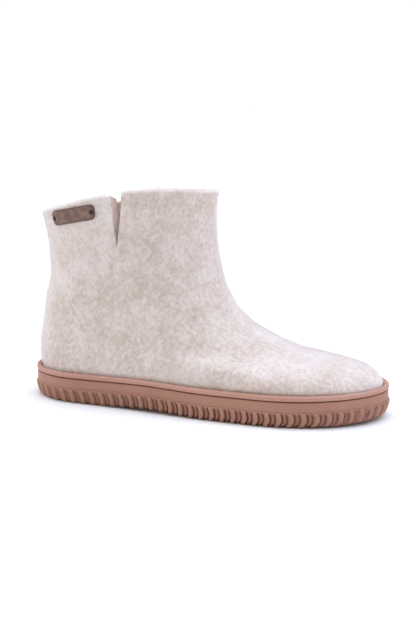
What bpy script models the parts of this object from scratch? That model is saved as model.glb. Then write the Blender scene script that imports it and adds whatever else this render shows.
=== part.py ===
"""Ankle boot of felted wool for the right foot, on a rubber cup sole with a wave tread.

The foot points along +X, the outer side of the foot is -Y and the floor is Z = 0. Sections are measured in
millimetres from the back of the heel and from the floor, and placed in metres about the sole's middle.
"""
import math
from typing import NamedTuple

import bmesh
import bpy
import numpy as np
from mathutils import Vector

MM = 0.001
GAP = 0.3

# Sole outline
LENGTH = 270.0
HEEL_HALF = 45.5
BALL_HALF = 55.4
HEEL_ROUND = 50.0
TOE_ROUND = 77.0
OUTER_RAMP = (54.0, 172.0)
INNER_RAMP = (95.0, 190.0)
HEEL_SHIFT = -1.2
TOE_SHIFT = 2.0

# Bend of the whole foot along its length
TOE_SPRING = 3.0
TOE_BREAK = 195.0
WAIST_LIFT = 1.8
WAIST_START = 58.0
WAIST_END = 160.0
BEND_FULL_Z = 2.0
BEND_GONE_Z = 38.0

# Heights and insets of the cup sole
FLOOR_Z = 10.0
RIB_TOP_Z = 10.4
WALL_TOP_Z = 18.3
WALL_INSET = 1.0
CUP_INSET = 4.2
RIB_PITCH = 7.9
RIB_DEPTH = 1.9
RIB_POINTS = 2

# Wave tread and bare plate
GROOVE_WIDTH = 3.4
GROOVE_DEPTH = 2.2
WAVE_HALF_PERIOD = 8.8
WAVE_HEIGHT = 2.8
WAVE_REACH = 7
CUT_CLEARANCE = 1.0
PLATE_SIZE = (19.5, 45.0)
PLATE_X = 133.0
PLATE_Y = -5.5
PLATE_RADIUS = 4.0
PLATE_CORNER_STEPS = 3
PLATE_RECESS = 0.4
PLATE_MOAT = 1.4
PLATE_ROOT_Z = 6.0

# Rand, insole and felt wall
RAND_TOP_Z = 22.3
FELT_WALL = 5.0
FELT_INSET = CUP_INSET + GAP
RIM_BEVEL = 1.7
RIM_BEVEL_STEPS = 2
RIM_SHARP_DEG = 50.0
INSOLE_INSET = FELT_INSET + FELT_WALL + 2 * GAP
INSOLE_THICKNESS = 5.0
INSOLE_EDGE = 0.9

# Share of the rim's outer rise by which the inner side drops, and how far forward the rise peaks
MEDIAL_DROP = 0.7
RISE_FORWARD = 1.6

# V cut in the outer side of the shaft
SLIT_FOOT = (83.6, 115.5)
SLIT_FOOT_WIDTH = 0.7
SLIT_MOUTH = (85.4, 153.0)
SLIT_MOUTH_WIDTH = 8.4
SLIT_OVERSHOOT = 0.4
SLIT_REACH = (-75.0, -18.0)

# Leather tag and its studs
TAG_LENGTH = 41.5
TAG_HEIGHT = 11.0
TAG_RADIUS = 4.0
TAG_THICKNESS = 1.5
TAG_CENTRE_X = 48.2
TAG_BELOW_RIM = 9.0
RIVET_RADIUS = 1.6
RIVET_TOP_RADIUS = 1.0
RIVET_HEIGHT = 0.9
RIVET_FROM_END = 2.2
RIVET_SIDES = 14

UPPER_POINTS = 44
INSOLE_POINTS = 40
RAND_POINTS = 72
FINE_STEPS = 300
SMOOTH_DEG = 35.0


class Corner(NamedTuple):
    """One corner of a profile that runs round the foot: its inset, height and share of the ribs' depth."""

    inset: float
    z: float
    rib: float = 0.0


# Side of the cup sole from the tread's edge, up the ribs and the band, over the edge and down into the cup
SOLE_SIDE = (
    Corner(4.6, 0.0, 0.6),
    Corner(1.9, 1.5, 1.0),
    Corner(0.6, 4.6, 1.0),
    Corner(0.0, 9.2, 1.0),
    Corner(WALL_INSET, RIB_TOP_Z),
    Corner(WALL_INSET, WALL_TOP_Z),
    Corner(CUP_INSET, WALL_TOP_Z),
    Corner(CUP_INSET, FLOOR_Z),
)

# Round the rand's bead, from its lower outer corner
RAND_BEAD = (
    Corner(1.2, WALL_TOP_Z + GAP),
    Corner(0.6, WALL_TOP_Z + GAP + 0.8),
    Corner(0.6, RAND_TOP_Z - 1.0),
    Corner(1.5, RAND_TOP_Z),
    Corner(CUP_INSET, RAND_TOP_Z),
    Corner(CUP_INSET, WALL_TOP_Z + GAP),
)

# Edge of the footbed, from its lower face to its upper face
FOOTBED_EDGE = (
    Corner(INSOLE_INSET + INSOLE_EDGE, FLOOR_Z + GAP),
    Corner(INSOLE_INSET, FLOOR_Z + GAP + INSOLE_EDGE),
    Corner(INSOLE_INSET, FLOOR_Z + GAP + INSOLE_THICKNESS - INSOLE_EDGE),
    Corner(INSOLE_INSET + INSOLE_EDGE, FLOOR_Z + GAP + INSOLE_THICKNESS),
)


class Section(NamedTuple):
    """One ring of the last: its back and front ends, half widths, end roundings and outer-side rise."""

    back_x: float
    back_z: float
    front_x: float
    front_z: float
    heel_half: float
    ball_half: float
    back_round: float
    front_round: float
    side_rise: float = 0.0


# Rings of the felt above the rand, from the feather line up to the rim. The columns are those of Section.
SHAFT_SECTIONS = (
    Section(3.8, 25.0, 265.4, 23.4, 41.7, 51.6, 46.0, 72.5),
    Section(3.4, 30.0, 263.4, 27.8, 41.8, 52.0, 46.0, 75.0),
    Section(3.4, 36.0, 257.4, 33.2, 41.6, 51.2, 46.0, 88.0),
    Section(3.8, 42.0, 246.0, 36.8, 41.2, 49.0, 46.0, 104.0),
    Section(4.4, 47.0, 231.0, 38.4, 40.8, 46.5, 46.0, 112.0),
    Section(5.0, 52.0, 215.5, 41.6, 40.5, 44.6, 46.0, 108.0),
    Section(5.7, 57.0, 199.0, 46.8, 40.3, 43.3, 46.5, 93.0),
    Section(6.6, 63.0, 182.0, 53.0, 40.2, 42.5, 47.0, 74.0),
    Section(7.9, 70.0, 165.6, 61.9, 40.2, 42.1, 48.0, 64.0),
    Section(9.6, 78.0, 153.5, 75.0, 40.2, 41.9, 49.0, 56.0),
    Section(11.1, 87.0, 146.5, 90.5, 40.3, 41.8, 50.0, 55.0),
    Section(11.9, 97.0, 142.8, 106.0, 40.6, 41.9, 52.0, 55.0, 0.6),
    Section(11.5, 107.5, 141.1, 121.0, 41.2, 42.3, 54.0, 57.0, 2.0),
    Section(10.0, 117.4, 140.6, 134.2, 42.0, 42.9, 57.0, 59.0, 3.8),
    Section(7.8, 126.4, 141.1, 144.9, 43.1, 43.7, 60.0, 61.0, 5.6),
    Section(5.0, 135.0, 142.6, 153.5, 44.6, 44.8, 62.0, 63.0, 7.4),
)


def clamp01(value):
    """Keep a value between 0 and 1."""
    return min(1.0, max(0.0, value))


def smooth(value, start, end):
    """Ease from 0 at start to 1 at end."""
    share = clamp01((value - start) / (end - start))
    return share * share * (3.0 - 2.0 * share)


def lift(x):
    """Height of the bent sole over the floor, in millimetres, at a distance from the heel."""
    toe = max(0.0, (x - TOE_BREAK) / (LENGTH - TOE_BREAK))
    waist = clamp01((x - WAIST_START) / (WAIST_END - WAIST_START))
    return TOE_SPRING * toe * toe + WAIST_LIFT * math.sin(math.pi * waist) ** 2


def centre_line(x):
    """Sideways shift of the foot's middle line: out at the heel, in at the toe."""
    heel = 1.0 - smooth(x, *OUTER_RAMP)
    toe = max(0.0, (x - TOE_BREAK) / (LENGTH - TOE_BREAK))
    return HEEL_SHIFT * heel + TOE_SHIFT * toe * toe


def place(x, y, z):
    """Millimetres from the heel and the floor, as a point in metres about the middle of the sole."""
    return Vector(((x - LENGTH / 2.0) * MM, y * MM, z * MM))


def foot_section(inset, z):
    """The sole's own outline, drawn in by an inset, at one height."""
    return Section(inset, z, LENGTH - inset, z, HEEL_HALF - inset, BALL_HALF - inset, HEEL_ROUND - inset,
                   TOE_ROUND - inset)


def section_point(section, turn):
    """Point of a section: turn 0 is the heel, 0.25 the outer side, 0.5 the toe and 0.75 the inner side."""
    angle = 2.0 * math.pi * turn
    share = (1.0 - math.cos(angle)) / 2.0
    outer = turn < 0.5
    x = section.back_x + (section.front_x - section.back_x) * share
    widen = smooth(x, *(OUTER_RAMP if outer else INNER_RAMP))
    half = section.heel_half + (section.ball_half - section.heel_half) * widen
    back = clamp01((section.back_x + section.back_round - x) / section.back_round)
    front = clamp01((x - section.front_x + section.front_round) / section.front_round)
    half *= math.sqrt(1.0 - back * back) * math.sqrt(1.0 - front * front)
    y = centre_line(x) + (-half if outer else half)
    forward = share ** RISE_FORWARD
    rise = section.side_rise * (1.0 if outer else -MEDIAL_DROP) * 4.0 * forward * (1.0 - forward)
    z = section.back_z + (section.front_z - section.back_z) * share + rise
    bend = 1.0 - smooth(z, BEND_FULL_Z, BEND_GONE_Z)
    return place(x, y, z + lift(x) * bend)


def ring(section, turns):
    """All points of a section at the given turns."""
    return [section_point(section, turn) for turn in turns]


def even_turns(count):
    """Turns in equal steps, closest together at heel and toe."""
    return [index / count for index in range(count)]


def path_length(points):
    """Running length along a row of points, in millimetres."""
    steps = [(b - a).length / MM for a, b in zip(points, points[1:])]
    return np.concatenate(([0.0], np.cumsum(steps)))


def rib_turns():
    """Turns spaced evenly along each side of the sole, RIB_POINTS to a rib."""
    turns = []
    for start in (0.0, 0.5):
        dense = np.linspace(start, start + 0.5, FINE_STEPS)
        run = path_length(ring(foot_section(0.0, 0.0), dense))
        count = round(run[-1] / RIB_PITCH) * RIB_POINTS
        turns.extend(np.interp(np.linspace(0.0, run[-1], count, endpoint=False), run, dense))
    return turns


def loft(bm, rings, caps=False, ring_closed=False):
    """Skin equal rings in order, with caps laid as rungs across the foot, and return the rings' vertices."""
    rows = [[bm.verts.new(point) for point in points] for points in rings]
    count = len(rows[0])
    pairs = list(zip(rows, rows[1:]))
    if ring_closed:
        pairs.append((rows[-1], rows[0]))
    for low, high in pairs:
        for index in range(count):
            after = (index + 1) % count
            bm.faces.new((low[index], low[after], high[after], high[index]))
    if caps:
        rungs(bm, rows[0], True)
        rungs(bm, rows[-1], False)
    return rows


def bar(bm, rings):
    """Skin equal rings in order and close both ends flat."""
    rows = loft(bm, rings)
    bm.faces.new(rows[0])
    bm.faces.new(rows[-1])


def rungs(bm, row, facing_down):
    """Close a ring with strips that cross the foot from its outer to its inner side."""
    count = len(row)
    for index in range(count // 2):
        corners = [row[index], row[index + 1], row[count - index - 1], row[(count - index) % count]]
        corners = list(dict.fromkeys(corners))
        bm.faces.new(reversed(corners) if facing_down else corners)


def make_object(name, bm, collection, finish=None):
    """Turn a bmesh into a named object of a collection, with its finish."""
    mesh = bpy.data.meshes.new(name)
    bm.to_mesh(mesh)
    bm.free()
    item = bpy.data.objects.new(name, mesh)
    collection.objects.link(item)
    if finish is not None:
        mesh.materials.append(finish)
    return item


def make_finish(name, colour, roughness):
    """Principled material of one piece."""
    finish = bpy.data.materials.new(name)
    finish.use_nodes = True
    shader = finish.node_tree.nodes["Principled BSDF"]
    shader.inputs["Base Color"].default_value = (*colour, 1.0)
    shader.inputs["Roughness"].default_value = roughness
    return finish


def make_cutter(name, bm, collection):
    """Turn a bmesh into a hidden cutter."""
    bmesh.ops.recalc_face_normals(bm, faces=bm.faces)
    cutter = make_object(name, bm, collection)
    cutter.hide_render = True
    cutter.display_type = "WIRE"
    return cutter


def add_boolean(item, operation, other, solver="EXACT"):
    """Cut or join another object."""
    boolean = item.modifiers.new(other.name, "BOOLEAN")
    boolean.operation = operation
    boolean.solver = solver
    boolean.object = other


def smooth_shading(item):
    """Shade an object smooth, with its sharp edges kept crisp."""
    item.data.shade_smooth()
    item.data.set_sharp_from_angle(angle=math.radians(SMOOTH_DEG))


def wave_shift(y):
    """Sideways swing of a tread wave at a distance from the middle line, a zigzag of straight runs."""
    phase = y / WAVE_HALF_PERIOD
    step = math.floor(phase)
    rise = phase - step
    return WAVE_HEIGHT * (2.0 * rise - 1.0) * (1.0 if step % 2 == 0 else -1.0)


def groove_start(turns):
    """Distance from the heel of the first groove, so that grooves run out between the outer side's ribs."""
    target = OUTER_RAMP[1]
    valleys = ring(foot_section(0.0, 0.0), turns[:len(turns) // 2:RIB_POINTS])
    valley = min(valleys, key=lambda point: abs(point.x / MM + LENGTH / 2.0 - target))
    along = valley.x / MM + LENGTH / 2.0 - wave_shift(valley.y / MM)
    return along % RIB_PITCH


def wave_cutter(collection, turns):
    """All V grooves of the tread, each a zigzag run across the sole."""
    bm = bmesh.new()
    stations = [step * WAVE_HALF_PERIOD for step in range(-WAVE_REACH, WAVE_REACH + 1)]
    wide = GROOVE_WIDTH / 2.0 * (1.0 + CUT_CLEARANCE / GROOVE_DEPTH)
    along = groove_start(turns)
    while along < LENGTH:
        groove = []
        for y in stations:
            x = along + wave_shift(y)
            low = lift(x) - CUT_CLEARANCE
            deep = low + CUT_CLEARANCE + GROOVE_DEPTH
            groove.append([place(x - wide, y, low), place(x + wide, y, low), place(x, y, deep)])
        bar(bm, groove)
        along += RIB_PITCH
    return make_cutter("wave_cutter", bm, collection)


def rounded_block(size, radius, low, high):
    """Upright block with round corners at the plate's place, bent with the sole."""
    bm = bmesh.new()
    bmesh.ops.create_cube(bm, size=1.0)
    bmesh.ops.scale(bm, vec=(size[0], size[1], high - low), verts=bm.verts)
    upright = [edge for edge in bm.edges if abs(edge.verts[0].co.z - edge.verts[1].co.z) > GAP]
    bmesh.ops.bevel(bm, geom=upright, offset=radius, segments=PLATE_CORNER_STEPS, profile=0.5, affect="EDGES")
    for vert in bm.verts:
        x = vert.co.x + PLATE_X
        vert.co = place(x, vert.co.y + PLATE_Y, vert.co.z + (low + high) / 2.0 + lift(x))
    return bm


def build_outsole(collection, cutters, finish):
    """Cup sole: ribbed lower side, smooth band, wave tread, plate and the cup that takes the felt."""
    turns = rib_turns()
    rings = []
    for corner in SOLE_SIDE:
        valley = foot_section(corner.inset + corner.rib * RIB_DEPTH, corner.z)
        crest = foot_section(corner.inset, corner.z)
        points = []
        for index, turn in enumerate(turns):
            points.append(section_point(crest if index % RIB_POINTS else valley, turn))
        rings.append(points)
    bm = bmesh.new()
    loft(bm, rings, caps=True)
    outsole = make_object("outsole", bm, collection, finish)
    add_boolean(outsole, "DIFFERENCE", wave_cutter(cutters, turns), "MANIFOLD")
    moat = (PLATE_SIZE[0] + 2.0 * PLATE_MOAT, PLATE_SIZE[1] + 2.0 * PLATE_MOAT)
    pocket = rounded_block(moat, PLATE_RADIUS + PLATE_MOAT, -CUT_CLEARANCE, GROOVE_DEPTH + GAP)
    add_boolean(outsole, "DIFFERENCE", make_cutter("plate_pocket", pocket, cutters), "MANIFOLD")
    plate = rounded_block(PLATE_SIZE, PLATE_RADIUS, PLATE_RECESS, PLATE_ROOT_Z)
    add_boolean(outsole, "UNION", make_cutter("plate_block", plate, cutters), "MANIFOLD")
    return outsole


def build_rand(collection, finish):
    """Smooth bead that lies on the cup's edge all round the felt."""
    turns = even_turns(RAND_POINTS)
    bm = bmesh.new()
    loft(bm, [ring(foot_section(corner.inset, corner.z), turns) for corner in RAND_BEAD], ring_closed=True)
    rand = make_object("rand", bm, collection, finish)
    smooth_shading(rand)
    return rand


def build_insole(collection, finish):
    """Felt footbed on the floor of the cup."""
    turns = even_turns(INSOLE_POINTS)
    bm = bmesh.new()
    loft(bm, [ring(foot_section(corner.inset, corner.z), turns) for corner in FOOTBED_EDGE], caps=True)
    insole = make_object("insole", bm, collection, finish)
    smooth_shading(insole)
    return insole


def upper_sections():
    """Every ring of the felt's outer face, from the floor of the cup to the rim."""
    seat = foot_section(FELT_INSET, FLOOR_Z + GAP)
    feather = foot_section(FELT_INSET, RAND_TOP_Z)
    return (seat, feather, *SHAFT_SECTIONS)


def slit_cutter(collection):
    """Wedge that opens the V cut, widest at the rim."""
    foot_x, foot_z = SLIT_FOOT
    mouth_x, mouth_z = SLIT_MOUTH
    over = 1.0 + SLIT_OVERSHOOT
    top_x = foot_x + (mouth_x - foot_x) * over
    top_z = foot_z + (mouth_z - foot_z) * over
    foot_half = SLIT_FOOT_WIDTH / 2.0
    top_half = foot_half + (SLIT_MOUTH_WIDTH / 2.0 - foot_half) * over
    outline = (
        (foot_x - foot_half, foot_z),
        (foot_x + foot_half, foot_z),
        (top_x + top_half, top_z),
        (top_x - top_half, top_z),
    )
    bm = bmesh.new()
    bar(bm, [[place(x, y, z) for x, z in outline] for y in SLIT_REACH])
    return make_cutter("slit_cutter", bm, collection)


def build_upper(collection, cutters, finish):
    """One hollow felt wall over the last, open at the rim, at the V cut and underneath."""
    turns = even_turns(UPPER_POINTS)
    bm = bmesh.new()
    loft(bm, [ring(section, turns) for section in upper_sections()])
    upper = make_object("upper", bm, collection, finish)
    upper.data.shade_smooth()
    wall = upper.modifiers.new("felt_wall", "SOLIDIFY")
    wall.thickness = FELT_WALL * MM
    wall.offset = -1.0
    wall.use_even_offset = True
    wall.use_quality_normals = True
    rim = upper.modifiers.new("soft_rim", "BEVEL")
    rim.width = RIM_BEVEL * MM
    rim.segments = RIM_BEVEL_STEPS
    rim.limit_method = "ANGLE"
    rim.angle_limit = math.radians(RIM_SHARP_DEG)
    add_boolean(upper, "DIFFERENCE", slit_cutter(cutters))
    return upper


def felt_point(turn, level):
    """Point of the felt's outer face between two neighbouring sections."""
    low = min(int(level), len(SHAFT_SECTIONS) - 2)
    start = section_point(SHAFT_SECTIONS[low], turn)
    end = section_point(SHAFT_SECTIONS[low + 1], turn)
    return start.lerp(end, level - low)


def below_rim(along, down):
    """Point of the felt and its outward direction, by a run along the rim from the tag and a depth."""
    top = len(SHAFT_SECTIONS) - 1
    rim = SHAFT_SECTIONS[top]
    turns = np.linspace(0.0, 0.5, FINE_STEPS)
    run = path_length([felt_point(turn, top) for turn in turns])
    share = (TAG_CENTRE_X - rim.back_x) / (rim.front_x - rim.back_x)
    middle = np.interp(math.acos(1.0 - 2.0 * share) / (2.0 * math.pi), turns, run)
    turn = float(np.interp(middle + along, run, turns))
    levels = np.linspace(top, top / 2.0, FINE_STEPS)
    depth = path_length([felt_point(turn, level) for level in levels])
    level = float(np.interp(down, depth, levels))
    step = 1.0 / FINE_STEPS
    across = felt_point(turn + step, level) - felt_point(turn - step, level)
    upward = felt_point(turn, level) - felt_point(turn, level - step)
    return felt_point(turn, level), across.cross(upward).normalized()


def on_felt(along, down, height):
    """Point over the felt's outer face, at a height in millimetres."""
    point, outward = below_rim(along, down)
    return point + outward * height * MM


def build_tag(collection, finish):
    """Leather tag with round corners, bent to the felt under the rim."""
    straight = TAG_LENGTH / 2.0 - TAG_RADIUS
    corner = [math.radians(angle) for angle in (25.0, 50.0, 75.0)]
    right = [(straight + TAG_RADIUS * math.sin(a), TAG_RADIUS * (math.cos(a) - 1.0)) for a in corner]
    stations = [(-along, pull) for along, pull in reversed(right)]
    stations += [(straight * share, 0.0) for share in (-1.0, -0.5, 0.0, 0.5, 1.0)]
    stations += right
    bm = bmesh.new()
    slices = []
    for along, pull in stations:
        half = TAG_HEIGHT / 2.0 + pull
        rows = [TAG_BELOW_RIM + half * share for share in (1.0, 0.0, -1.0)]
        under = [on_felt(along, down, GAP) for down in rows]
        face = [on_felt(along, down, GAP + TAG_THICKNESS) for down in reversed(rows)]
        slices.append(under + face)
    bar(bm, slices)
    bmesh.ops.recalc_face_normals(bm, faces=bm.faces)
    return make_object("tag", bm, collection, finish)


def build_rivet(name, along, collection, finish):
    """Low stud on the tag, square to the felt behind it."""
    _, outward = below_rim(along, TAG_BELOW_RIM)
    bm = bmesh.new()
    bmesh.ops.create_cone(bm, cap_ends=True, segments=RIVET_SIDES, radius1=RIVET_RADIUS * MM,
                          radius2=RIVET_TOP_RADIUS * MM, depth=RIVET_HEIGHT * MM)
    rivet = make_object(name, bm, collection, finish)
    rivet.location = on_felt(along, TAG_BELOW_RIM, 2.0 * GAP + TAG_THICKNESS + RIVET_HEIGHT / 2.0)
    rivet.rotation_euler = outward.to_track_quat("Z", "Y").to_euler()
    return rivet


def main():
    """Build every piece of the boot."""
    for item in list(bpy.data.objects):
        bpy.data.objects.remove(item)
    boot = bpy.data.collections.new("wool_boot")
    cutters = bpy.data.collections.new("cutters")
    for collection in (boot, cutters):
        bpy.context.scene.collection.children.link(collection)

    felt = make_finish("felt", (0.66, 0.58, 0.54), 0.95)
    footbed = make_finish("footbed", (0.36, 0.30, 0.26), 0.95)
    rubber = make_finish("rubber", (0.36, 0.17, 0.12), 0.60)
    bead = make_finish("rand_rubber", (0.44, 0.24, 0.19), 0.50)
    leather = make_finish("tag_leather", (0.20, 0.12, 0.10), 0.60)
    stud = make_finish("stud", (0.02, 0.015, 0.015), 0.40)

    build_outsole(boot, cutters, rubber)
    build_rand(boot, bead)
    build_insole(boot, footbed)
    build_upper(boot, cutters, felt)
    build_tag(boot, leather)
    stud_along = TAG_LENGTH / 2.0 - RIVET_FROM_END
    build_rivet("rivet_front", stud_along, boot, stud)
    build_rivet("rivet_back", -stud_along, boot, stud)


main()
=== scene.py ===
"""Looks of a felted wool ankle boot for the right foot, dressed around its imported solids.

The foot points along +X, the outer side of the foot is -Y and the floor is Z = 0. Sizes are in millimetres,
measured from the back of the heel and from the floor. Meshes are placed in metres about the sole's middle.
"""
import logging
import math
from dataclasses import dataclass, field
from enum import Enum
from typing import Any, ClassVar, NamedTuple, Union

import bmesh
import bpy
import numpy as np
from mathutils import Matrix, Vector, noise

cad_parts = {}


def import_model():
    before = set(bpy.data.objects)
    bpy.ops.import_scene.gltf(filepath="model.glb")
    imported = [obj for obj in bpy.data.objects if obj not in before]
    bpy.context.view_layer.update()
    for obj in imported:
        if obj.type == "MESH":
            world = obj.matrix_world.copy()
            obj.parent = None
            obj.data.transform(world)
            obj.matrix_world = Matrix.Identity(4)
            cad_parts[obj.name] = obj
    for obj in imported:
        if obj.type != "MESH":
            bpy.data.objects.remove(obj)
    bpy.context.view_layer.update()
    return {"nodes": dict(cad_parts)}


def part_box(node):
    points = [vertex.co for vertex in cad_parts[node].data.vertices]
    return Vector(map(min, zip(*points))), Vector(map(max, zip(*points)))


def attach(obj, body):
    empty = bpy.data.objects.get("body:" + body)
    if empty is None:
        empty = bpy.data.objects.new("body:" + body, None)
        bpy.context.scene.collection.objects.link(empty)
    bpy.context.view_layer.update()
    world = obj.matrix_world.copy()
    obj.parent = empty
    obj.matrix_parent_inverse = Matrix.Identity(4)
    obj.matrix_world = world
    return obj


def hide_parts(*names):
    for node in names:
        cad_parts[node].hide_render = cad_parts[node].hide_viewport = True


Array = np.ndarray
Pair = tuple[float, float]
Triple = tuple[float, float, float]
Colour = Triple
Names = tuple[str, ...]

MM = 0.001
TINY = 1e-9
FINE_STEPS = 600
NOISE_MEAN = 0.5
ROUND_PROFILE = 0.5
BODY = "root"
MAP_NAME = "OFBake"
LOG = logging.getLogger("wool_boot")


class Side(Enum):
    """Side of the foot, by the sign of its Y."""

    OUTER = -1.0
    INNER = 1.0


class End(Enum):
    """End of the tag, by the way to it along the rim."""

    FRONT = 1.0
    BACK = -1.0


def smooth(value: Array, start: float, end: float) -> Array:
    """Ease from 0 at start to 1 at end."""
    share = np.clip((value - start) / (end - start), 0.0, 1.0)
    return share * share * (3.0 - 2.0 * share)


def path_length(points: Array) -> Array:
    """Running length along rows of points, which lie in the last two axes."""
    steps = np.linalg.norm(np.diff(points, axis=-2), axis=-1)
    return np.concatenate((np.zeros_like(steps[..., :1]), np.cumsum(steps, axis=-1)), axis=-1)


def unit(vectors: Array) -> Array:
    """Vectors of length one."""
    return vectors / np.maximum(np.linalg.norm(vectors, axis=-1, keepdims=True), TINY)


def bridge(ring: Array, rungs: int) -> Array:
    """Inner points of the straight rungs that cross a ring from its outer to its inner side.

    Args:
        ring: Points of the ring, with the heel first and the toe half way.
        rungs: Number of steps along a rung.

    Returns:
        Points, one row for each station between heel and toe.
    """
    middle = len(ring) // 2
    outer = ring[1:middle, None]
    inner = ring[:middle:-1, None]
    return outer + (inner - outer) * np.linspace(0.0, 1.0, rungs + 1)[1:-1, None]


class Section(NamedTuple):
    """One ring of the last: its back and front ends, half widths, end roundings and outer-side rise."""

    back_x: float
    back_z: float
    front_x: float
    front_z: float
    heel_half: float
    ball_half: float
    back_round: float
    front_round: float
    side_rise: float = 0.0


# Rings of the felt above the rand, from the feather line up to the rim. The columns are those of Section.
SHAFT_SECTIONS = (
    Section(3.8, 25.0, 265.4, 23.4, 41.7, 51.6, 46.0, 72.5),
    Section(3.4, 30.0, 263.4, 27.8, 41.8, 52.0, 46.0, 75.0),
    Section(3.4, 36.0, 257.4, 33.2, 41.6, 51.2, 46.0, 88.0),
    Section(3.8, 42.0, 246.0, 36.8, 41.2, 49.0, 46.0, 104.0),
    Section(4.4, 47.0, 231.0, 38.4, 40.8, 46.5, 46.0, 112.0),
    Section(5.0, 52.0, 215.5, 41.6, 40.5, 44.6, 46.0, 108.0),
    Section(5.7, 57.0, 199.0, 46.8, 40.3, 43.3, 46.5, 93.0),
    Section(6.6, 63.0, 182.0, 53.0, 40.2, 42.5, 47.0, 74.0),
    Section(7.9, 70.0, 165.6, 61.9, 40.2, 42.1, 48.0, 64.0),
    Section(9.6, 78.0, 153.5, 75.0, 40.2, 41.9, 49.0, 56.0),
    Section(11.1, 87.0, 146.5, 90.5, 40.3, 41.8, 50.0, 55.0),
    Section(11.9, 97.0, 142.8, 106.0, 40.6, 41.9, 52.0, 55.0, 0.6),
    Section(11.5, 107.5, 141.1, 121.0, 41.2, 42.3, 54.0, 57.0, 2.0),
    Section(10.0, 117.4, 140.6, 134.2, 42.0, 42.9, 57.0, 59.0, 3.8),
    Section(7.8, 126.4, 141.1, 144.9, 43.1, 43.7, 60.0, 61.0, 5.6),
    Section(5.0, 135.0, 142.6, 153.5, 44.6, 44.8, 62.0, 63.0, 7.4),
)


@dataclass(frozen=True)
class Last:
    """Form of the foot that sole, rand, footbed and felt share."""

    length: float = 270.0
    heel_half: float = 45.5
    ball_half: float = 55.4
    heel_round: float = 50.0
    toe_round: float = 77.0
    outer_ramp: Pair = (54.0, 172.0)
    inner_ramp: Pair = (95.0, 190.0)
    heel_shift: float = -1.2
    toe_shift: float = 2.0
    toe_spring: float = 3.0
    toe_break: float = 195.0
    waist_lift: float = 1.8
    waist: Pair = (58.0, 160.0)
    bend_fade: Pair = (2.0, 38.0)
    medial_drop: float = 0.7
    rise_forward: float = 1.6

    @property
    def origin(self) -> Array:
        """The middle of the sole, from the back of the heel."""
        return np.array((self.length / 2.0, 0.0, 0.0))

    def toe_share(self, x: Array) -> Array:
        """Share of the way from the toe break to the tip."""
        return np.maximum(0.0, (x - self.toe_break) / (self.length - self.toe_break))

    def lift(self, x: Array) -> Array:
        """Height of the bent sole over the floor.

        Args:
            x: Distances from the heel.

        Returns:
            Heights in millimetres.
        """
        start, end = self.waist
        waist = np.clip((x - start) / (end - start), 0.0, 1.0)
        return self.toe_spring * self.toe_share(x) ** 2 + self.waist_lift * np.sin(np.pi * waist) ** 2

    def centre_line(self, x: Array) -> Array:
        """Sideways shift of the foot's middle line: out at the heel, in at the toe."""
        heel = 1.0 - smooth(x, *self.outer_ramp)
        return self.heel_shift * heel + self.toe_shift * self.toe_share(x) ** 2

    def outline(self, inset: Array, z: Array) -> Array:
        """The sole's own outline, drawn in and set at a height.

        Args:
            inset: Distance from the widest outline.
            z: Height over the floor, which broadcasts against the inset.

        Returns:
            Section columns in a new last axis.
        """
        inset, z = np.broadcast_arrays(np.asarray(inset, float), np.asarray(z, float))
        return np.stack((
            inset, z, self.length - inset, z, self.heel_half - inset, self.ball_half - inset,
            self.heel_round - inset, self.toe_round - inset, np.zeros_like(inset),
        ), axis=-1)

    def turn_at(self, columns: Array, x: Array) -> Array:
        """Turn on the outer side at which sections pass a distance from the heel."""
        share = (x - columns[..., 0]) / (columns[..., 2] - columns[..., 0])
        return np.arccos(1.0 - 2.0 * np.clip(share, 0.0, 1.0)) / (2.0 * np.pi)

    def points(self, columns: Array, turns: Array) -> Array:
        """Points of sections: turn 0 is the heel, 0.25 the outer side, 0.5 the toe and 0.75 the inner side.

        Args:
            columns: Section columns in the last axis, which broadcast against the turns.
            turns: Turns round the foot.

        Returns:
            Points in millimetres, in a new last axis.
        """
        (back_x, back_z, front_x, front_z, heel_half, ball_half, back_round, front_round,
         side_rise) = np.moveaxis(columns, -1, 0)
        turns = turns % 1.0
        share = (1.0 - np.cos(2.0 * np.pi * turns)) / 2.0
        outer = turns < 0.5
        x = back_x + (front_x - back_x) * share
        widen = np.where(outer, smooth(x, *self.outer_ramp), smooth(x, *self.inner_ramp))
        half = heel_half + (ball_half - heel_half) * widen
        back = np.clip((back_x + back_round - x) / back_round, 0.0, 1.0)
        front = np.clip((x - front_x + front_round) / front_round, 0.0, 1.0)
        half = half * np.sqrt(1.0 - back**2) * np.sqrt(1.0 - front**2)
        y = self.centre_line(x) + np.where(outer, -half, half)
        forward = share**self.rise_forward
        rise = side_rise * np.where(outer, 1.0, -self.medial_drop) * 4.0 * forward * (1.0 - forward)
        z = back_z + (front_z - back_z) * share + rise
        z = z + self.lift(x) * (1.0 - smooth(z, *self.bend_fade))
        return np.stack(np.broadcast_arrays(x, y, z), axis=-1)

    def place(self, points: Array) -> Array:
        """Points in metres about the middle of the sole."""
        return (points - self.origin) * MM

    def measure(self, places: Array) -> Array:
        """Points in millimetres from the heel, from places in metres."""
        return places / MM + self.origin


class Patch(NamedTuple):
    """Rectangle of a mesh's flat map."""

    left: float
    low: float
    right: float
    high: float


WHOLE_MAP = Patch(0.0, 0.0, 1.0, 1.0)


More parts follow.
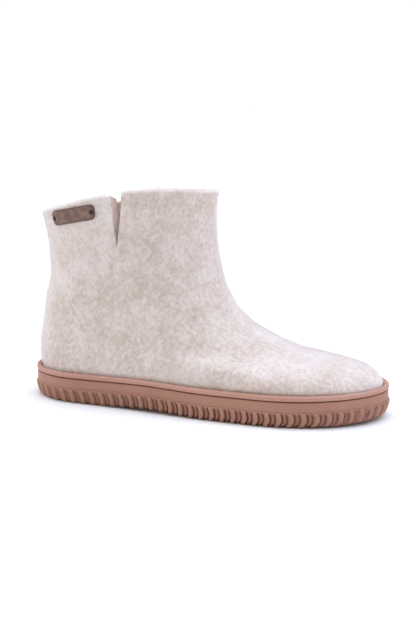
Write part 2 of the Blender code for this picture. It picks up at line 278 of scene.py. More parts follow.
class Skin:
    """Points, faces and flat map of one mesh, gathered grid by grid."""

    def __init__(self) -> None:
        """Start with nothing."""
        self.points: list[Array] = []
        self.faces: list[Array] = []
        self.spots: list[Array] = []
        self.count = 0

    def add(self, points: Array) -> Array:
        """Take in points.

        Args:
            points: Points in the last axis, in metres, in a grid of any shape.

        Returns:
            The points' numbers in the same shape.
        """
        flat = points.reshape(-1, 3)
        numbers = np.arange(self.count, self.count + len(flat)).reshape(points.shape[:-1])
        self.points.append(flat)
        self.count += len(flat)
        return numbers

    def add_rings(self, rings: Array) -> Array:
        """Take in closed rings, and return their numbers with the first column again at the end."""
        numbers = self.add(rings)
        return np.concatenate((numbers, numbers[:, :1]), axis=1)

    def sheet(self, numbers: Array, patch: Patch, flip: bool = False) -> None:
        """Skin a grid of numbers with quads.

        Args:
            numbers: Grid of point numbers, rows by columns.
            patch: Where the grid lies on the flat map.
            flip: Turn the faces over.
        """
        rows, columns = numbers.shape
        across = np.linspace(patch.left, patch.right, columns)
        up = np.linspace(patch.low, patch.high, rows)
        spots = np.stack(np.meshgrid(across, up), axis=-1)
        first, second = slice(0, -1), slice(1, None)
        corners = ((first, first), (first, second), (second, second), (second, first))
        order = corners[::-1] if flip else corners
        self.faces.append(np.stack([numbers[at] for at in order], axis=-1).reshape(-1, 4))
        self.spots.append(np.stack([spots[at] for at in order], axis=-2).reshape(-1, 4, 2))

    def sheet_to_points(self, start: int, rows: Array, end: int, patch: Patch, flip: bool = False) -> None:
        """Skin a grid that closes to one point before its first row and to another after its last.

        Args:
            start: Number of the first point.
            rows: Grid of point numbers between the two.
            end: Number of the last point.
            patch: Where the grid lies on the flat map.
            flip: Turn the faces over.
        """
        tips = [np.full((1, rows.shape[1]), number) for number in (start, end)]
        self.sheet(np.concatenate((tips[0], rows, tips[1])), patch, flip)

    def rung_sheet(self, ring: Array, places: Array, patch: Patch, faces_down: bool) -> None:
        """Skin the rungs across a ring, which close to a point at heel and toe.

        Args:
            ring: Numbers of the ring's points, with the first again at the end.
            places: Inner points of the rungs, in metres.
            patch: Where the rungs lie on the flat map.
            faces_down: Turn the faces to the floor.
        """
        middle = (len(ring) - 1) // 2
        inside = self.add(places)
        rows = np.concatenate((ring[1:middle, None], inside, ring[-2:middle:-1, None]), axis=1)
        self.sheet_to_points(ring[0], rows, ring[middle], patch, flip=not faces_down)

    def mesh(self, name: str) -> bpy.types.Mesh:
        """The gathered mesh, in which a quad that has lost a side is a triangle.

        Args:
            name: Name of the mesh.

        Returns:
            A smooth-shaded mesh with its flat map.
        """
        faces: list[list[int]] = []
        spots: list[list[float]] = []
        for quad, places in zip(np.concatenate(self.faces).tolist(), np.concatenate(self.spots).tolist()):
            kept = [index for index, number in enumerate(quad) if number not in quad[:index]]
            if len(kept) > 2:
                faces.append([quad[index] for index in kept])
                spots.extend(places[index] for index in kept)
        mesh = bpy.data.meshes.new(name)
        mesh.from_pydata(np.concatenate(self.points).tolist(), [], faces)
        flat_map = mesh.uv_layers.new(name=MAP_NAME)
        flat_map.uv.foreach_set("vector", np.array(spots, np.float32).ravel())
        mesh.shade_smooth()
        return mesh


def set_value(mesh: bpy.types.Mesh, name: str, values: Array) -> None:
    """Write a number for each point of a mesh, for its finish to read."""
    attribute = mesh.attributes.get(name) or mesh.attributes.new(name, "FLOAT", "POINT")
    attribute.data.foreach_set("value", values.astype(np.float32))


def get_value(mesh: bpy.types.Mesh, name: str) -> Array:
    """Read the number that each point of a mesh holds.

    Args:
        mesh: The mesh.
        name: Name of the number.

    Returns:
        The numbers, one for each point.
    """
    values = np.zeros(len(mesh.vertices), np.float32)
    mesh.attributes[name].data.foreach_get("value", values)
    return values.astype(float)


def get_vectors(items: bpy.types.bpy_prop_collection, name: str) -> Array:
    """Read a vector from each item of a mesh.

    Args:
        items: Vertices or normals of the mesh.
        name: Property that holds the vector.

    Returns:
        The vectors in rows.
    """
    flat = np.zeros(len(items) * 3, np.float32)
    items.foreach_get(name, flat)
    return flat.reshape(-1, 3).astype(float)


def get_points(mesh: bpy.types.Mesh) -> Array:
    """Points of a mesh, in metres."""
    return get_vectors(mesh.vertices, "co")


def get_normals(mesh: bpy.types.Mesh) -> Array:
    """Outward directions at the points of a mesh."""
    return get_vectors(mesh.vertex_normals, "vector")


def set_points(mesh: bpy.types.Mesh, points: Array) -> None:
    """Move the points of a mesh."""
    mesh.vertices.foreach_set("co", points.astype(np.float32).ravel())
    mesh.update()


def add_object(name: str, data: bpy.types.ID) -> bpy.types.Object:
    """Put a mesh, a light or a camera into the scene.

    Args:
        name: Name of the object.
        data: What it holds.

    Returns:
        The object.
    """
    item = bpy.data.objects.new(name, data)
    bpy.context.scene.collection.objects.link(item)
    return item


def apply_modifiers(piece: bpy.types.Object) -> None:
    """Keep what the modifiers of a piece make of its mesh.

    Args:
        piece: The piece, which takes a new mesh of the same name.
    """
    graph = bpy.context.evaluated_depsgraph_get()
    made = bpy.data.meshes.new_from_object(piece.evaluated_get(graph), depsgraph=graph)
    piece.modifiers.clear()
    made.name = piece.data.name
    piece.data = made


class SubAssembly:
    """What the sub-assemblies share: a name, the record's material slot and the solids they stand for."""

    name: ClassVar[str]
    slot: ClassVar[str]
    nodes: ClassVar[Names] = ()

    def dress(self, piece: bpy.types.Object, material: bpy.types.Material) -> None:
        """Give a finished piece its material, and fix it to the boot.

        Args:
            piece: The piece, in its place.
            material: Its finish.
        """
        piece.data.materials.clear()
        piece.data.materials.append(material)
        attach(piece, BODY)
        if self.nodes:
            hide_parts(*self.nodes)
        solids = ", ".join(self.nodes) or "no solid"
        LOG.info("%s: %d faces, for %s", piece.name, len(piece.data.polygons), solids)


class Wire:
    """A shader socket whose arithmetic adds Math nodes."""

    def __init__(self, bench: "Bench", socket: bpy.types.NodeSocket) -> None:
        """Wrap one output socket of a bench."""
        self.bench = bench
        self.socket = socket

    def __add__(self, other: "Value") -> "Wire":
        """Sum."""
        return self.bench.maths("ADD", self, other)

    __radd__ = __add__

    def __sub__(self, other: "Value") -> "Wire":
        """Difference."""
        return self.bench.maths("SUBTRACT", self, other)

    def __rsub__(self, other: "Value") -> "Wire":
        """Difference from a number."""
        return self.bench.maths("SUBTRACT", other, self)

    def __mul__(self, other: "Value") -> "Wire":
        """Product."""
        return self.bench.maths("MULTIPLY", self, other)

    __rmul__ = __mul__

    def __abs__(self) -> "Wire":
        """Size without its sign."""
        return self.bench.maths("ABSOLUTE", self)


Value = Union[Wire, float]


class Grain(NamedTuple):
    """A noise texture: width of its larger blots, number and strength of finer layers, and swirl."""

    size: float
    detail: float = 2.0
    roughness: float = 0.5
    distortion: float = 0.0


class Bench:
    """Node tree of one material, with a Principled shader at its end."""

    # A Mix node repeats its socket names for each type of data, so its colours go by number
    mix_share: ClassVar[int] = 0
    mix_start: ClassVar[int] = 6
    mix_end: ClassVar[int] = 7
    mix_result: ClassVar[int] = 2

    def __init__(self, name: str) -> None:
        """Start a material.

        Args:
            name: Name of the material.
        """
        self.material = bpy.data.materials.new(name)
        self.material.use_nodes = True
        self.tree = self.material.node_tree
        self.shader = self.tree.nodes["Principled BSDF"]

    def node(self, kind: str, settings: dict[str, Any], inputs: dict[Any, Any], output: Any = 0) -> Wire:
        """Add a node.

        Args:
            kind: Type of the node.
            settings: Properties, set before the sockets.
            inputs: Values or wires of its sockets, by name or number.
            output: Socket that is returned.

        Returns:
            The wire from that socket.
        """
        made = self.tree.nodes.new(kind)
        for name, value in settings.items():
            setattr(made, name, value)
        for key, value in inputs.items():
            self.feed(made.inputs[key], value)
        return Wire(self, made.outputs[output])

    def feed(self, socket: bpy.types.NodeSocket, value: Any) -> None:
        """Link a wire to a socket, or set its value.

        Args:
            socket: Input of a node.
            value: A wire, a number, a vector or a colour.
        """
        if isinstance(value, Wire):
            self.tree.links.new(value.socket, socket)
        elif isinstance(value, tuple) and socket.type == "RGBA":
            socket.default_value = (*value, 1.0)
        else:
            socket.default_value = value

    def maths(self, operation: str, *values: Value) -> Wire:
        """Add a Math node."""
        return self.node("ShaderNodeMath", {"operation": operation}, dict(enumerate(values)))

    def place(self) -> Wire:
        """Place on the boot, in metres."""
        return self.node("ShaderNodeTexCoord", {}, {}, "Object")

    def held(self, name: str) -> Wire:
        """Number that the mesh holds at its points."""
        return self.node("ShaderNodeAttribute", {"attribute_name": name}, {}, "Fac")

    def noise(self, place: Wire, grain: Grain, output: str = "Fac") -> Wire:
        """Add a noise texture.

        Args:
            place: Coordinates in metres.
            grain: Its settings.
            output: Socket that is returned.

        Returns:
            The wire from that socket, about 0.5 on average.
        """
        return self.node("ShaderNodeTexNoise", {"noise_dimensions": "3D"}, {
            "Vector": place, "Scale": 1.0 / (grain.size * MM), "Detail": grain.detail,
            "Roughness": grain.roughness, "Distortion": grain.distortion,
        }, output)

    def ease(self, value: Wire, ends: Pair) -> Wire:
        """Ease from 0 at the first end to 1 at the second."""
        inputs = {"Value": value, "From Min": ends[0], "From Max": ends[1]}
        return self.node("ShaderNodeMapRange", {"interpolation_type": "SMOOTHSTEP"}, inputs)

    def mix(self, share: Value, start: Any, end: Any) -> Wire:
        """Mix two colours."""
        inputs = {self.mix_share: share, self.mix_start: start, self.mix_end: end}
        return self.node("ShaderNodeMix", {"data_type": "RGBA"}, inputs, self.mix_result)

    def warp(self, place: Wire, grain: Grain, reach: float) -> Wire:
        """Coordinates pushed about by noise.

        Args:
            place: Coordinates in metres.
            grain: Settings of the noise.
            reach: Length of the push, in millimetres.

        Returns:
            The moved coordinates.
        """
        push = self.noise(place, grain, "Color")
        inputs = {0: push, 1: (reach * MM,) * 3, 2: place}
        return self.node("ShaderNodeVectorMath", {"operation": "MULTIPLY_ADD"}, inputs)

    def stretch(self, place: Wire, turn_deg: float, share: float) -> Wire:
        """Coordinates in which a texture is drawn out along a line that leans in the side view.

        Args:
            place: Coordinates in metres.
            turn_deg: Lean of the line.
            share: How many times longer the texture gets along it.

        Returns:
            The drawn-out coordinates.
        """
        return self.node("ShaderNodeMapping", {"vector_type": "TEXTURE"}, {
            "Vector": place, "Rotation": (0.0, math.radians(turn_deg), 0.0), "Scale": (1.0, 1.0, share),
        })

    def shift(self, place: Wire, step: float) -> Wire:
        """Coordinates moved to another part of a texture."""
        inputs = {0: place, 1: (step, -step, 2.0 * step)}
        return self.node("ShaderNodeVectorMath", {"operation": "ADD"}, inputs)

    def bump(self, height: Wire, depth: float, strength: float) -> Wire:
        """Add a Bump node, for a height from 0 to 1 and a depth in millimetres."""
        inputs = {"Strength": strength, "Distance": depth * MM, "Height": height}
        return self.node("ShaderNodeBump", {}, inputs)

    def shade(self, **sockets: Any) -> bpy.types.Material:
        """Feed the shader.

        Args:
            sockets: Values or wires of its sockets, by names with underscores for spaces.

        Returns:
            The finished material.
        """
        for name, value in sockets.items():
            self.feed(self.shader.inputs[name.replace("_", " ")], value)
        return self.material


@dataclass(frozen=True)
class FeltFinish:
    """Heathered felt: matted wool whose short streaks lie crosswise, with curled fibres on it."""

    name: str
    dark: Colour
    ground: Colour
    pale: Colour
    # The two inner tones are warmer, browner colours for the inner face and the cut's lips: painted shade
    # and warm bounce light inside the boot, not another wool
    inner_shade: Colour
    inner_shade_dark: Colour
    sheen: float = 0.9
    sheen_roughness: float = 0.4
    sheen_tint: Colour = (1.0, 0.96, 0.99)
    roughness: float = 0.95
    specular: float = 0.2
    swirl: Grain = Grain(8.0)
    swirl_reach: float = 4.0
    clouds: Grain = Grain(19.0)
    streak: Grain = Grain(2.4, 4.0, 0.48)
    streak_stretch: float = 1.7
    streak_turn_deg: float = 40.0
    lean: Grain = Grain(9.0, 1.0)
    lean_ends: Pair = (0.42, 0.58)
    pale_curls: Grain = Grain(2.6, 1.0, 0.5, 1.6)
    pale_curl_width: float = 0.04
    pale_curl_share: float = 0.14
    dark_curls: Grain = Grain(3.38, 1.0, 0.5, 1.6)
    dark_curl_width: float = 0.035
    dark_curl_share: float = 0.12
    dark_curl_shift: float = 3.0
    hair: Grain = Grain(0.35, 2.0, 0.6)
    streak_tone: float = 0.58
    cloud_tone: float = 0.34
    hair_tone: float = 0.08
    ground_ends: Pair = (0.34, 0.54)
    pale_ends: Pair = (0.46, 0.68)
    inner_shade_ends: Pair = (0.36, 0.62)
    streak_height: float = 0.45
    curl_height: float = 0.2
    hair_height: float = 0.35
    relief: float = 0.8
    relief_strength: float = 0.5

    def strands(self, bench: Bench, place: Wire, curls: Grain, width: float) -> Wire:
        """Thin curled lines where a noise crosses its middle value.

        Args:
            bench: Bench of the material.
            place: Coordinates in metres.
            curls: Settings of the noise.
            width: Share of the noise's range that a line takes.

        Returns:
            1 on the lines and 0 off them.
        """
        middle = abs(bench.noise(place, curls) - NOISE_MEAN)
        return 1.0 - bench.ease(middle, (0.0, width))

    def streaks(self, bench: Bench, place: Wire) -> Wire:
        """Short streaks that lean one way in some patches and the other way in the rest.

        Args:
            bench: Bench of the material.
            place: Coordinates in metres.

        Returns:
            The streaks' tone, about 0.5 on average.
        """
        one, other = (
            bench.noise(bench.stretch(place, turn, self.streak_stretch), self.streak)
            for turn in (self.streak_turn_deg, -self.streak_turn_deg)
        )
        share = bench.ease(bench.noise(place, self.lean), self.lean_ends)
        return one + (other - one) * share

    def make(self) -> bpy.types.Material:
        """Make the felt, with the tone and the share of painted inner shade that its mesh holds.

        Returns:
            The material.
        """
        bench = Bench(self.name)
        place = bench.place()
        swirled = bench.warp(place, self.swirl, self.swirl_reach)
        shifted = bench.shift(swirled, self.dark_curl_shift)
        clouds = bench.noise(place, self.clouds)
        streaks = self.streaks(bench, swirled)
        pale_strands = self.strands(bench, swirled, self.pale_curls, self.pale_curl_width)
        dark_strands = self.strands(bench, shifted, self.dark_curls, self.dark_curl_width)
        hair = bench.noise(swirled, self.hair)
        tone = streaks * self.streak_tone + clouds * self.cloud_tone + hair * self.hair_tone
        # The mesh's tone adds a painted highlight along the rim, and painted light and shade in patches
        tone = tone + bench.held("tone")
        colour = bench.mix(bench.ease(tone, self.ground_ends), self.dark, self.ground)
        colour = bench.mix(bench.ease(tone, self.pale_ends), colour, self.pale)
        colour = bench.mix(pale_strands * self.pale_curl_share, colour, self.pale)
        colour = bench.mix(dark_strands * self.dark_curl_share, colour, self.dark)
        # Painted shade: the inner face and the cut's lips take warmer, browner tones that stand for the
        # shade and warm bounce light inside the boot
        inner_shade = bench.mix(bench.ease(tone, self.inner_shade_ends), self.inner_shade_dark, self.inner_shade)
        colour = bench.mix(bench.held("inner_shade"), colour, inner_shade)
        height = streaks * self.streak_height + pale_strands * self.curl_height + hair * self.hair_height
        return bench.shade(
            Base_Color=colour, Roughness=self.roughness, Specular_IOR_Level=self.specular,
            Normal=bench.bump(height, self.relief, self.relief_strength), Sheen_Weight=self.sheen,
            Sheen_Roughness=self.sheen_roughness, Sheen_Tint=self.sheen_tint,
        )


@dataclass(frozen=True)
class HairFinish:
    """Loose wool hairs, from beige to nearly white."""

    name: str
    beige: Colour
    white: Colour
    blots: Grain = Grain(2.0, 1.0)
    white_ends: Pair = (0.35, 0.65)
    roughness: float = 0.9
    specular: float = 0.2

    def make(self) -> bpy.types.Material:
        """Make the wool of the hairs.

        Returns:
            The material.
        """
        bench = Bench(self.name)
        tone = bench.ease(bench.noise(bench.place(), self.blots), self.white_ends)
        colour = bench.mix(tone, self.beige, self.white)
        return bench.shade(Base_Color=colour, Roughness=self.roughness, Specular_IOR_Level=self.specular)


@dataclass(frozen=True)
class RubberFinish:
    """Moulded rubber: even tone with faint clouds, painted shade in its grooves, with a fine crumb."""

    name: str
    face: Colour
    # The groove colour is painted shade, deep in the grooves and between the ribs
    groove: Colour
    bloom: Colour
    roughness: float
    crumb: float = 0.10
    crumb_strength: float = 0.5
    specular: float = 0.4
    clouds: Grain = Grain(24.0, 3.0, 0.55)
    cloud_ends: Pair = (0.35, 0.70)
    cloud_share: float = 0.35
    specks: Grain = Grain(1.1, 3.0, 0.65)
    speck_ends: Pair = (0.50, 0.72)
    speck_share: float = 0.22
    speck_roughness: float = 0.25
    speck_height: float = 0.7
    flow: Grain = Grain(6.0)
    flow_height: float = 0.3
    groove_shade_ends: Pair = (0.12, 0.95)

    def make(self) -> bpy.types.Material:
        """Make the rubber, with the depth in a groove that its mesh holds, which sets the painted groove
        shade.

        Returns:
            The material.
        """
        bench = Bench(self.name)
        place = bench.place()
        clouds = bench.noise(place, self.clouds)
        specks = bench.noise(place, self.specks)
        flow = bench.noise(place, self.flow)
        colour = bench.mix(bench.ease(clouds, self.cloud_ends) * self.cloud_share, self.face, self.bloom)
        colour = bench.mix(bench.ease(specks, self.speck_ends) * self.speck_share, colour, self.bloom)
        # Painted shade: darker the deeper a point lies in a groove
        colour = bench.mix(bench.ease(bench.held("deep"), self.groove_shade_ends), colour, self.groove)
        height = specks * self.speck_height + flow * self.flow_height
        return bench.shade(
            Base_Color=colour, Roughness=self.roughness + (specks - NOISE_MEAN) * self.speck_roughness,
            Normal=bench.bump(height, self.crumb, self.crumb_strength), Specular_IOR_Level=self.specular,
        )


@dataclass(frozen=True)
class LeatherFinish:
    """Brown leather with a pebbled grain, rubbed pale on its face and darker towards its edge."""

    name: str
    face: Colour
    worn: Colour
    edge: Colour
    pebble_size: float = 0.9
    pebble_softness: float = 0.6
    pebble_ends: Pair = (0.05, 0.60)
    pebble_share: float = 0.30
    pebble_height: float = 0.8
    pebble_roughness: float = 0.2
    swirl: Grain = Grain(2.0)
    swirl_reach: float = 0.5
    clouds: Grain = Grain(5.0, 4.0, 0.6)
    worn_ends: Pair = (0.38, 0.68)
    pores: Grain = Grain(0.4)
    pore_height: float = 0.2
    edge_ends: Pair = (0.45, 1.0)
    edge_share: float = 0.75
    relief: float = 0.18
    relief_strength: float = 0.6
    roughness: float = 0.52
    specular: float = 0.45
    coat: float = 0.06
    coat_roughness: float = 0.35

    def make(self) -> bpy.types.Material:
        """Make the leather, with the nearness to its edge that its mesh holds.

        Returns:
            The material.
        """
        bench = Bench(self.name)
        place = bench.place()
        swirled = bench.warp(place, self.swirl, self.swirl_reach)
        cells = bench.node("ShaderNodeTexVoronoi", {"feature": "SMOOTH_F1"}, {
            "Vector": swirled, "Scale": 1.0 / (self.pebble_size * MM), "Smoothness": self.pebble_softness,
        }, "Distance")
        clouds = bench.noise(place, self.clouds)
        pores = bench.noise(place, self.pores)
        pebbles = bench.ease(cells, self.pebble_ends)
        colour = bench.mix(bench.ease(clouds, self.worn_ends), self.face, self.worn)
        colour = bench.mix(pebbles * self.pebble_share, colour, self.edge)
        # Darker towards the tag's edge and on its back
        edge_darkening = bench.ease(bench.held("edge"), self.edge_ends) * self.edge_share
        colour = bench.mix(edge_darkening, colour, self.edge)
        height = (1.0 - pebbles) * self.pebble_height + pores * self.pore_height
        return bench.shade(
            Base_Color=colour, Roughness=self.roughness + pebbles * self.pebble_roughness,
            Normal=bench.bump(height, self.relief, self.relief_strength), Specular_IOR_Level=self.specular,
            Coat_Weight=self.coat, Coat_Roughness=self.coat_roughness,
        )


@dataclass(frozen=True)
class LacquerFinish:
    """Dark lacquer on metal, rubbed on the dome."""

    name: str
    lacquer: Colour
    rubbed: Colour
    rubs: Grain = Grain(0.7, 3.0, 0.6)
    rub_ends: Pair = (0.50, 0.75)
    rub_share: float = 0.5
    rub_metallic: float = 0.5
    rub_roughness: float = 0.25
    pits: Grain = Grain(0.4)
    relief: float = 0.03
    relief_strength: float = 0.4
    metallic: float = 0.25
    roughness: float = 0.30

    def make(self) -> bpy.types.Material:
        """Make the lacquer.

        Returns:
            The material.
        """
        bench = Bench(self.name)
        place = bench.place()
        rubs = bench.ease(bench.noise(place, self.rubs), self.rub_ends)
        pits = bench.noise(place, self.pits)
        return bench.shade(
            Base_Color=bench.mix(rubs * self.rub_share, self.lacquer, self.rubbed),
            Metallic=self.metallic + rubs * self.rub_metallic,
            Roughness=self.roughness + rubs * self.rub_roughness,
            Normal=bench.bump(pits, self.relief, self.relief_strength),
        )


@dataclass(frozen=True)
class FloorFinish:
    """Pale studio floor with a faint grain."""

    name: str
    pale: Colour
    paler: Colour
    blots: Grain = Grain(60.0, 3.0)
    roughness: float = 0.9

    def make(self) -> bpy.types.Material:
        """Make the floor's material.

        Returns:
            The material.
        """
        bench = Bench(self.name)
        colour = bench.mix(bench.noise(bench.place(), self.blots), self.pale, self.paler)
        return bench.shade(Base_Color=colour, Roughness=self.roughness)


@dataclass(frozen=True)
class BackdropFinish:
    """White cloth far behind the boot, lit evenly from behind."""

    name: str
    light: Colour
    fold: Colour
    strength: float
    folds: Grain = Grain(900.0, 1.0)
    unlit: Colour = (0.02, 0.02, 0.02)
    roughness: float = 0.9

    def make(self) -> bpy.types.Material:
        """Make the lit cloth.

        Returns:
            The material.
        """
        bench = Bench(self.name)
        glow = bench.mix(bench.noise(bench.place(), self.folds), self.light, self.fold)
        return bench.shade(
            Base_Color=self.unlit, Roughness=self.roughness, Specular_IOR_Level=0.0,
            Emission_Color=glow, Emission_Strength=self.strength,
        )


# The inner tones of these felts are painted shade and warm bounce light for the inside of the boot
BOOT_FELT = FeltFinish(
    "heathered_felt", dark=(0.50, 0.400, 0.325), ground=(0.61, 0.512, 0.45), pale=(0.69, 0.612, 0.57),
    inner_shade=(0.64, 0.50, 0.405), inner_shade_dark=(0.50, 0.37, 0.285))
FOOTBED_FELT = FeltFinish(
    "footbed_felt", dark=(0.27, 0.22, 0.19), ground=(0.36, 0.30, 0.26), pale=(0.44, 0.38, 0.34),
    inner_shade=(0.36, 0.30, 0.26), inner_shade_dark=(0.27, 0.22, 0.19), sheen=0.2)
WOOL_HAIRS = HairFinish("wool_hairs", beige=(0.60, 0.54, 0.51), white=(0.84, 0.80, 0.79))
SOLE_RUBBER = RubberFinish(
    "sole_rubber", face=(0.345, 0.163, 0.110), groove=(0.185, 0.075, 0.047), bloom=(0.43, 0.223, 0.157),
    roughness=0.62)
RAND_RUBBER = RubberFinish(
    "rand_rubber", face=(0.425, 0.216, 0.154), groove=(0.22, 0.10, 0.07), bloom=(0.49, 0.27, 0.20),
    roughness=0.52, crumb=0.05)
TAG_LEATHER = LeatherFinish(
    "brown_leather", face=(0.140, 0.074, 0.053), worn=(0.265, 0.150, 0.113), edge=(0.065, 0.033, 0.024))
STUD_LACQUER = LacquerFinish("stud_lacquer", lacquer=(0.008, 0.006, 0.006), rubbed=(0.035, 0.026, 0.023))
PALE_FLOOR = FloorFinish("pale_floor", pale=(0.81, 0.79, 0.755), paler=(0.83, 0.81, 0.775))
WHITE_CLOTH = BackdropFinish("white_cloth", light=(1.0, 1.0, 1.0), fold=(0.98, 0.99, 1.0), strength=1.05)


class Crease(NamedTuple):
    """A soft trough with low ridges along it, from one place on the felt's side to another, as (x, z)."""

    start: Pair
    end: Pair
    side: Side
    depth: float
    width: float


class PaintedLightPatch(NamedTuple):
    """A soft patch of painted light, or painted shade where its tone is below zero, on the felt's side,
    about a place given as (x, z).
    """

    middle: Pair
    reach: Pair
    side: Side
    tone: float


@dataclass
class FeltUpper(SubAssembly):
    """Seamless hollow felt: one wall over the last, open at the rim and the V cut."""

    name: ClassVar[str] = "felt_upper"
    slot: ClassVar[str] = "felt"
    nodes: ClassVar[Names] = ("upper",)
    # Rows of the feather line and of the shaft's first section
    feather_level: ClassVar[float] = 1.0
    shaft_level: ClassVar[float] = 2.0
    last: Last
    seat_inset: float = 4.5
    seat_z: float = 10.3
    feather_z: float = 22.3
    wall: float = 5.0
    rim_swell: float = 1.3
    swell_rings: int = 5
    columns: int = 80
    seat_levels: int = 2
    low_levels: int = 24
    high_levels: int = 9
    subdivisions: int = 2
    slit_foot: Pair = (84.4, 112.5)
    slit_mouth: Pair = (85.8, 153.0)
    slit_mouth_width: float = 9.2
    slit_bow: float = 0.82
    slit_inner_share: float = 0.45
    slit_passes: int = 3
    lip_step: float = 1.3
    lip_drop: Pair = (0.2, 0.4)
    lip_reach: float = 2.5
    inner_lip_drop: Pair = (0.6, 6.5)
    inner_lip_reach: float = 7.0
    rim_bevel: float = 1.3
    lump_sizes: tuple[Pair, ...] = ((15.0, 0.34), (5.5, 0.14))
    roll_depth: float = 0.45
    roll_below: float = 5.2
    roll_width: float = 2.4
    side_fade: Pair = (3.0, 14.0)
    ridge_height: float = 0.4
    ridge_away: float = 1.9
    creases: tuple[Crease, ...] = (
        Crease((83.8, 128.0), (81.5, 84.0), Side.OUTER, 1.0, 2.8),
        Crease((150.0, 88.0), (104.0, 70.0), Side.OUTER, 1.1, 5.5),
        Crease((162.0, 72.0), (118.0, 53.0), Side.OUTER, 0.9, 6.5),
        Crease((4.0, 92.0), (54.0, 80.0), Side.OUTER, 0.9, 7.0),
        Crease((152.0, 86.0), (102.0, 74.0), Side.INNER, 1.1, 5.5),
        Crease((160.0, 70.0), (114.0, 56.0), Side.INNER, 0.9, 6.5),
        Crease((4.0, 90.0), (58.0, 84.0), Side.INNER, 0.9, 7.0),
    )
    # A painted highlight along the rim's rounded top, and patches of painted light and painted shade on the
    # outer side
    rim_highlight: float = 0.11
    rim_highlight_band: Pair = (0.6, 2.6)
    light_patches: tuple[PaintedLightPatch, ...] = (
        PaintedLightPatch((68.0, 130.0), (17.0, 15.0), Side.OUTER, 0.08),
        PaintedLightPatch((44.0, 96.0), (18.0, 14.0), Side.OUTER, 0.05),
        PaintedLightPatch((107.0, 144.0), (15.0, 7.0), Side.OUTER, -0.08),
        PaintedLightPatch((106.0, 92.0), (12.0, 26.0), Side.OUTER, -0.07),
    )
    # Where the painted inner shade falls: the whole inner face, and the cut's lips some way below the rim
    inner_shade_from: Pair = (0.8, 1.0)
    lip_shade: float = 0.8
    lip_shade_from: Pair = (0.05, 0.45)
    lip_shade_below: Pair = (1.5, 4.0)
    outer_patch: Patch = Patch(0.0, 0.0, 1.0, 0.46)
    rim_patch: Patch = Patch(0.0, 0.465, 1.0, 0.495)
    inner_patch: Patch = Patch(0.0, 0.50, 1.0, 0.96)
    seat_patch: Patch = Patch(0.0, 0.962, 1.0, 0.976)
    front_lip_patch: Patch = Patch(0.0, 0.980, 0.4, 0.998)
    back_lip_patch: Patch = Patch(0.5, 0.980, 0.9, 0.998)
    rows: Array = field(init=False)

    def __post_init__(self) -> None:
        """Put the seat in the cup and the feather line under the shaft's own sections."""
        edges = self.last.outline(self.seat_inset, np.array((self.seat_z, self.feather_z)))
        self.rows = np.vstack((edges, np.array(SHAFT_SECTIONS)))

    @property
    def top(self) -> float:
        """Level of the rim."""
        return len(self.rows) - 1.0

    def sections(self, levels: Array) -> Array:
        """Sections on a smooth curve through the rows.

        Args:
            levels: Row numbers, with fractions between rows.

        Returns:
            Section columns in a new last axis.
        """
        ends = self.rows[:, :4].reshape(-1, 2, 2)
        steps = np.linalg.norm(np.diff(ends, axis=0), axis=-1).mean(axis=1)
        knots = np.concatenate(([0.0], np.cumsum(steps)))
        slopes = np.gradient(self.rows, knots, axis=0)
        low = np.clip(np.asarray(levels).astype(int), 0, len(self.rows) - 2)
        share = (levels - low)[..., None]
        run = (knots[low + 1] - knots[low])[..., None]
        ease = share**2 * (3.0 - 2.0 * share)
        bow = run * share * (1.0 - share) * (slopes[low] * (1.0 - share) - slopes[low + 1] * share)
        return self.rows[low] * (1.0 - ease) + self.rows[low + 1] * ease + bow

    def surface(self, turns: Array, levels: Array) -> Array:
        """Points of the outer face, in millimetres, by turns and levels that broadcast together."""
        turns, levels = np.broadcast_arrays(turns, levels)
        return self.last.points(self.sections(levels), turns)

    def heights_at(self, sections: Array, x: Array) -> Array:
        """Heights of the outer side where sections pass a distance from the heel."""
        return self.last.points(sections, self.last.turn_at(sections, x))[:, 2]

    def slit_level(self) -> float:
        """Level of the foot of the V cut.

        Returns:
            A row number with its fraction.
        """
        x, z = self.slit_foot
        levels = np.linspace(self.shaft_level, self.top, FINE_STEPS)
        return float(np.interp(z, self.heights_at(self.sections(levels), x), levels))

    def cage_rings(self, slit_share: float) -> tuple[Array, int]:
        """Rings of the outer face from seat to rim, each from the cut's front lip round to its back lip.

        Args:
            slit_share: Share of the cut's width that is left open.

        Returns:
            The rings' points and the number of the ring at the foot of the cut.
        """
        foot_x, foot_z = self.slit_foot
        mouth_x, mouth_z = self.slit_mouth
        foot = self.slit_level()
        levels = np.concatenate((
            np.linspace(0.0, self.feather_level, self.seat_levels, endpoint=False),
            np.linspace(self.feather_level, foot, self.low_levels, endpoint=False),
            np.linspace(foot, self.top, self.high_levels),
        ))
        sections = self.sections(levels)
        x = np.full(len(levels), foot_x)
        for _ in range(self.slit_passes):
            z = self.heights_at(sections, x)
            share = np.maximum(0.0, (z - foot_z) / (mouth_z - foot_z))
            x = foot_x + (mouth_x - foot_x) * share
        half = self.slit_mouth_width / 2.0 * slit_share * share**self.slit_bow
        foot_ring = self.seat_levels + self.low_levels
        half[:foot_ring + 1] = 0.0
        start = self.last.turn_at(sections, x + half)
        end = self.last.turn_at(sections, x - half) + 1.0
        turns = start[:, None] + (end - start)[:, None] * np.linspace(0.0, 1.0, FINE_STEPS)
        runs = path_length(self.last.points(sections[:, None], turns))
        even = []
        for run, row in zip(runs, turns):
            inner = np.linspace(self.lip_step, run[-1] - self.lip_step, self.columns - 1)
            even.append(np.interp(np.concatenate(([0.0], inner, run[-1:])), run, row))
        return self.last.points(sections[:, None], np.stack(even)), foot_ring

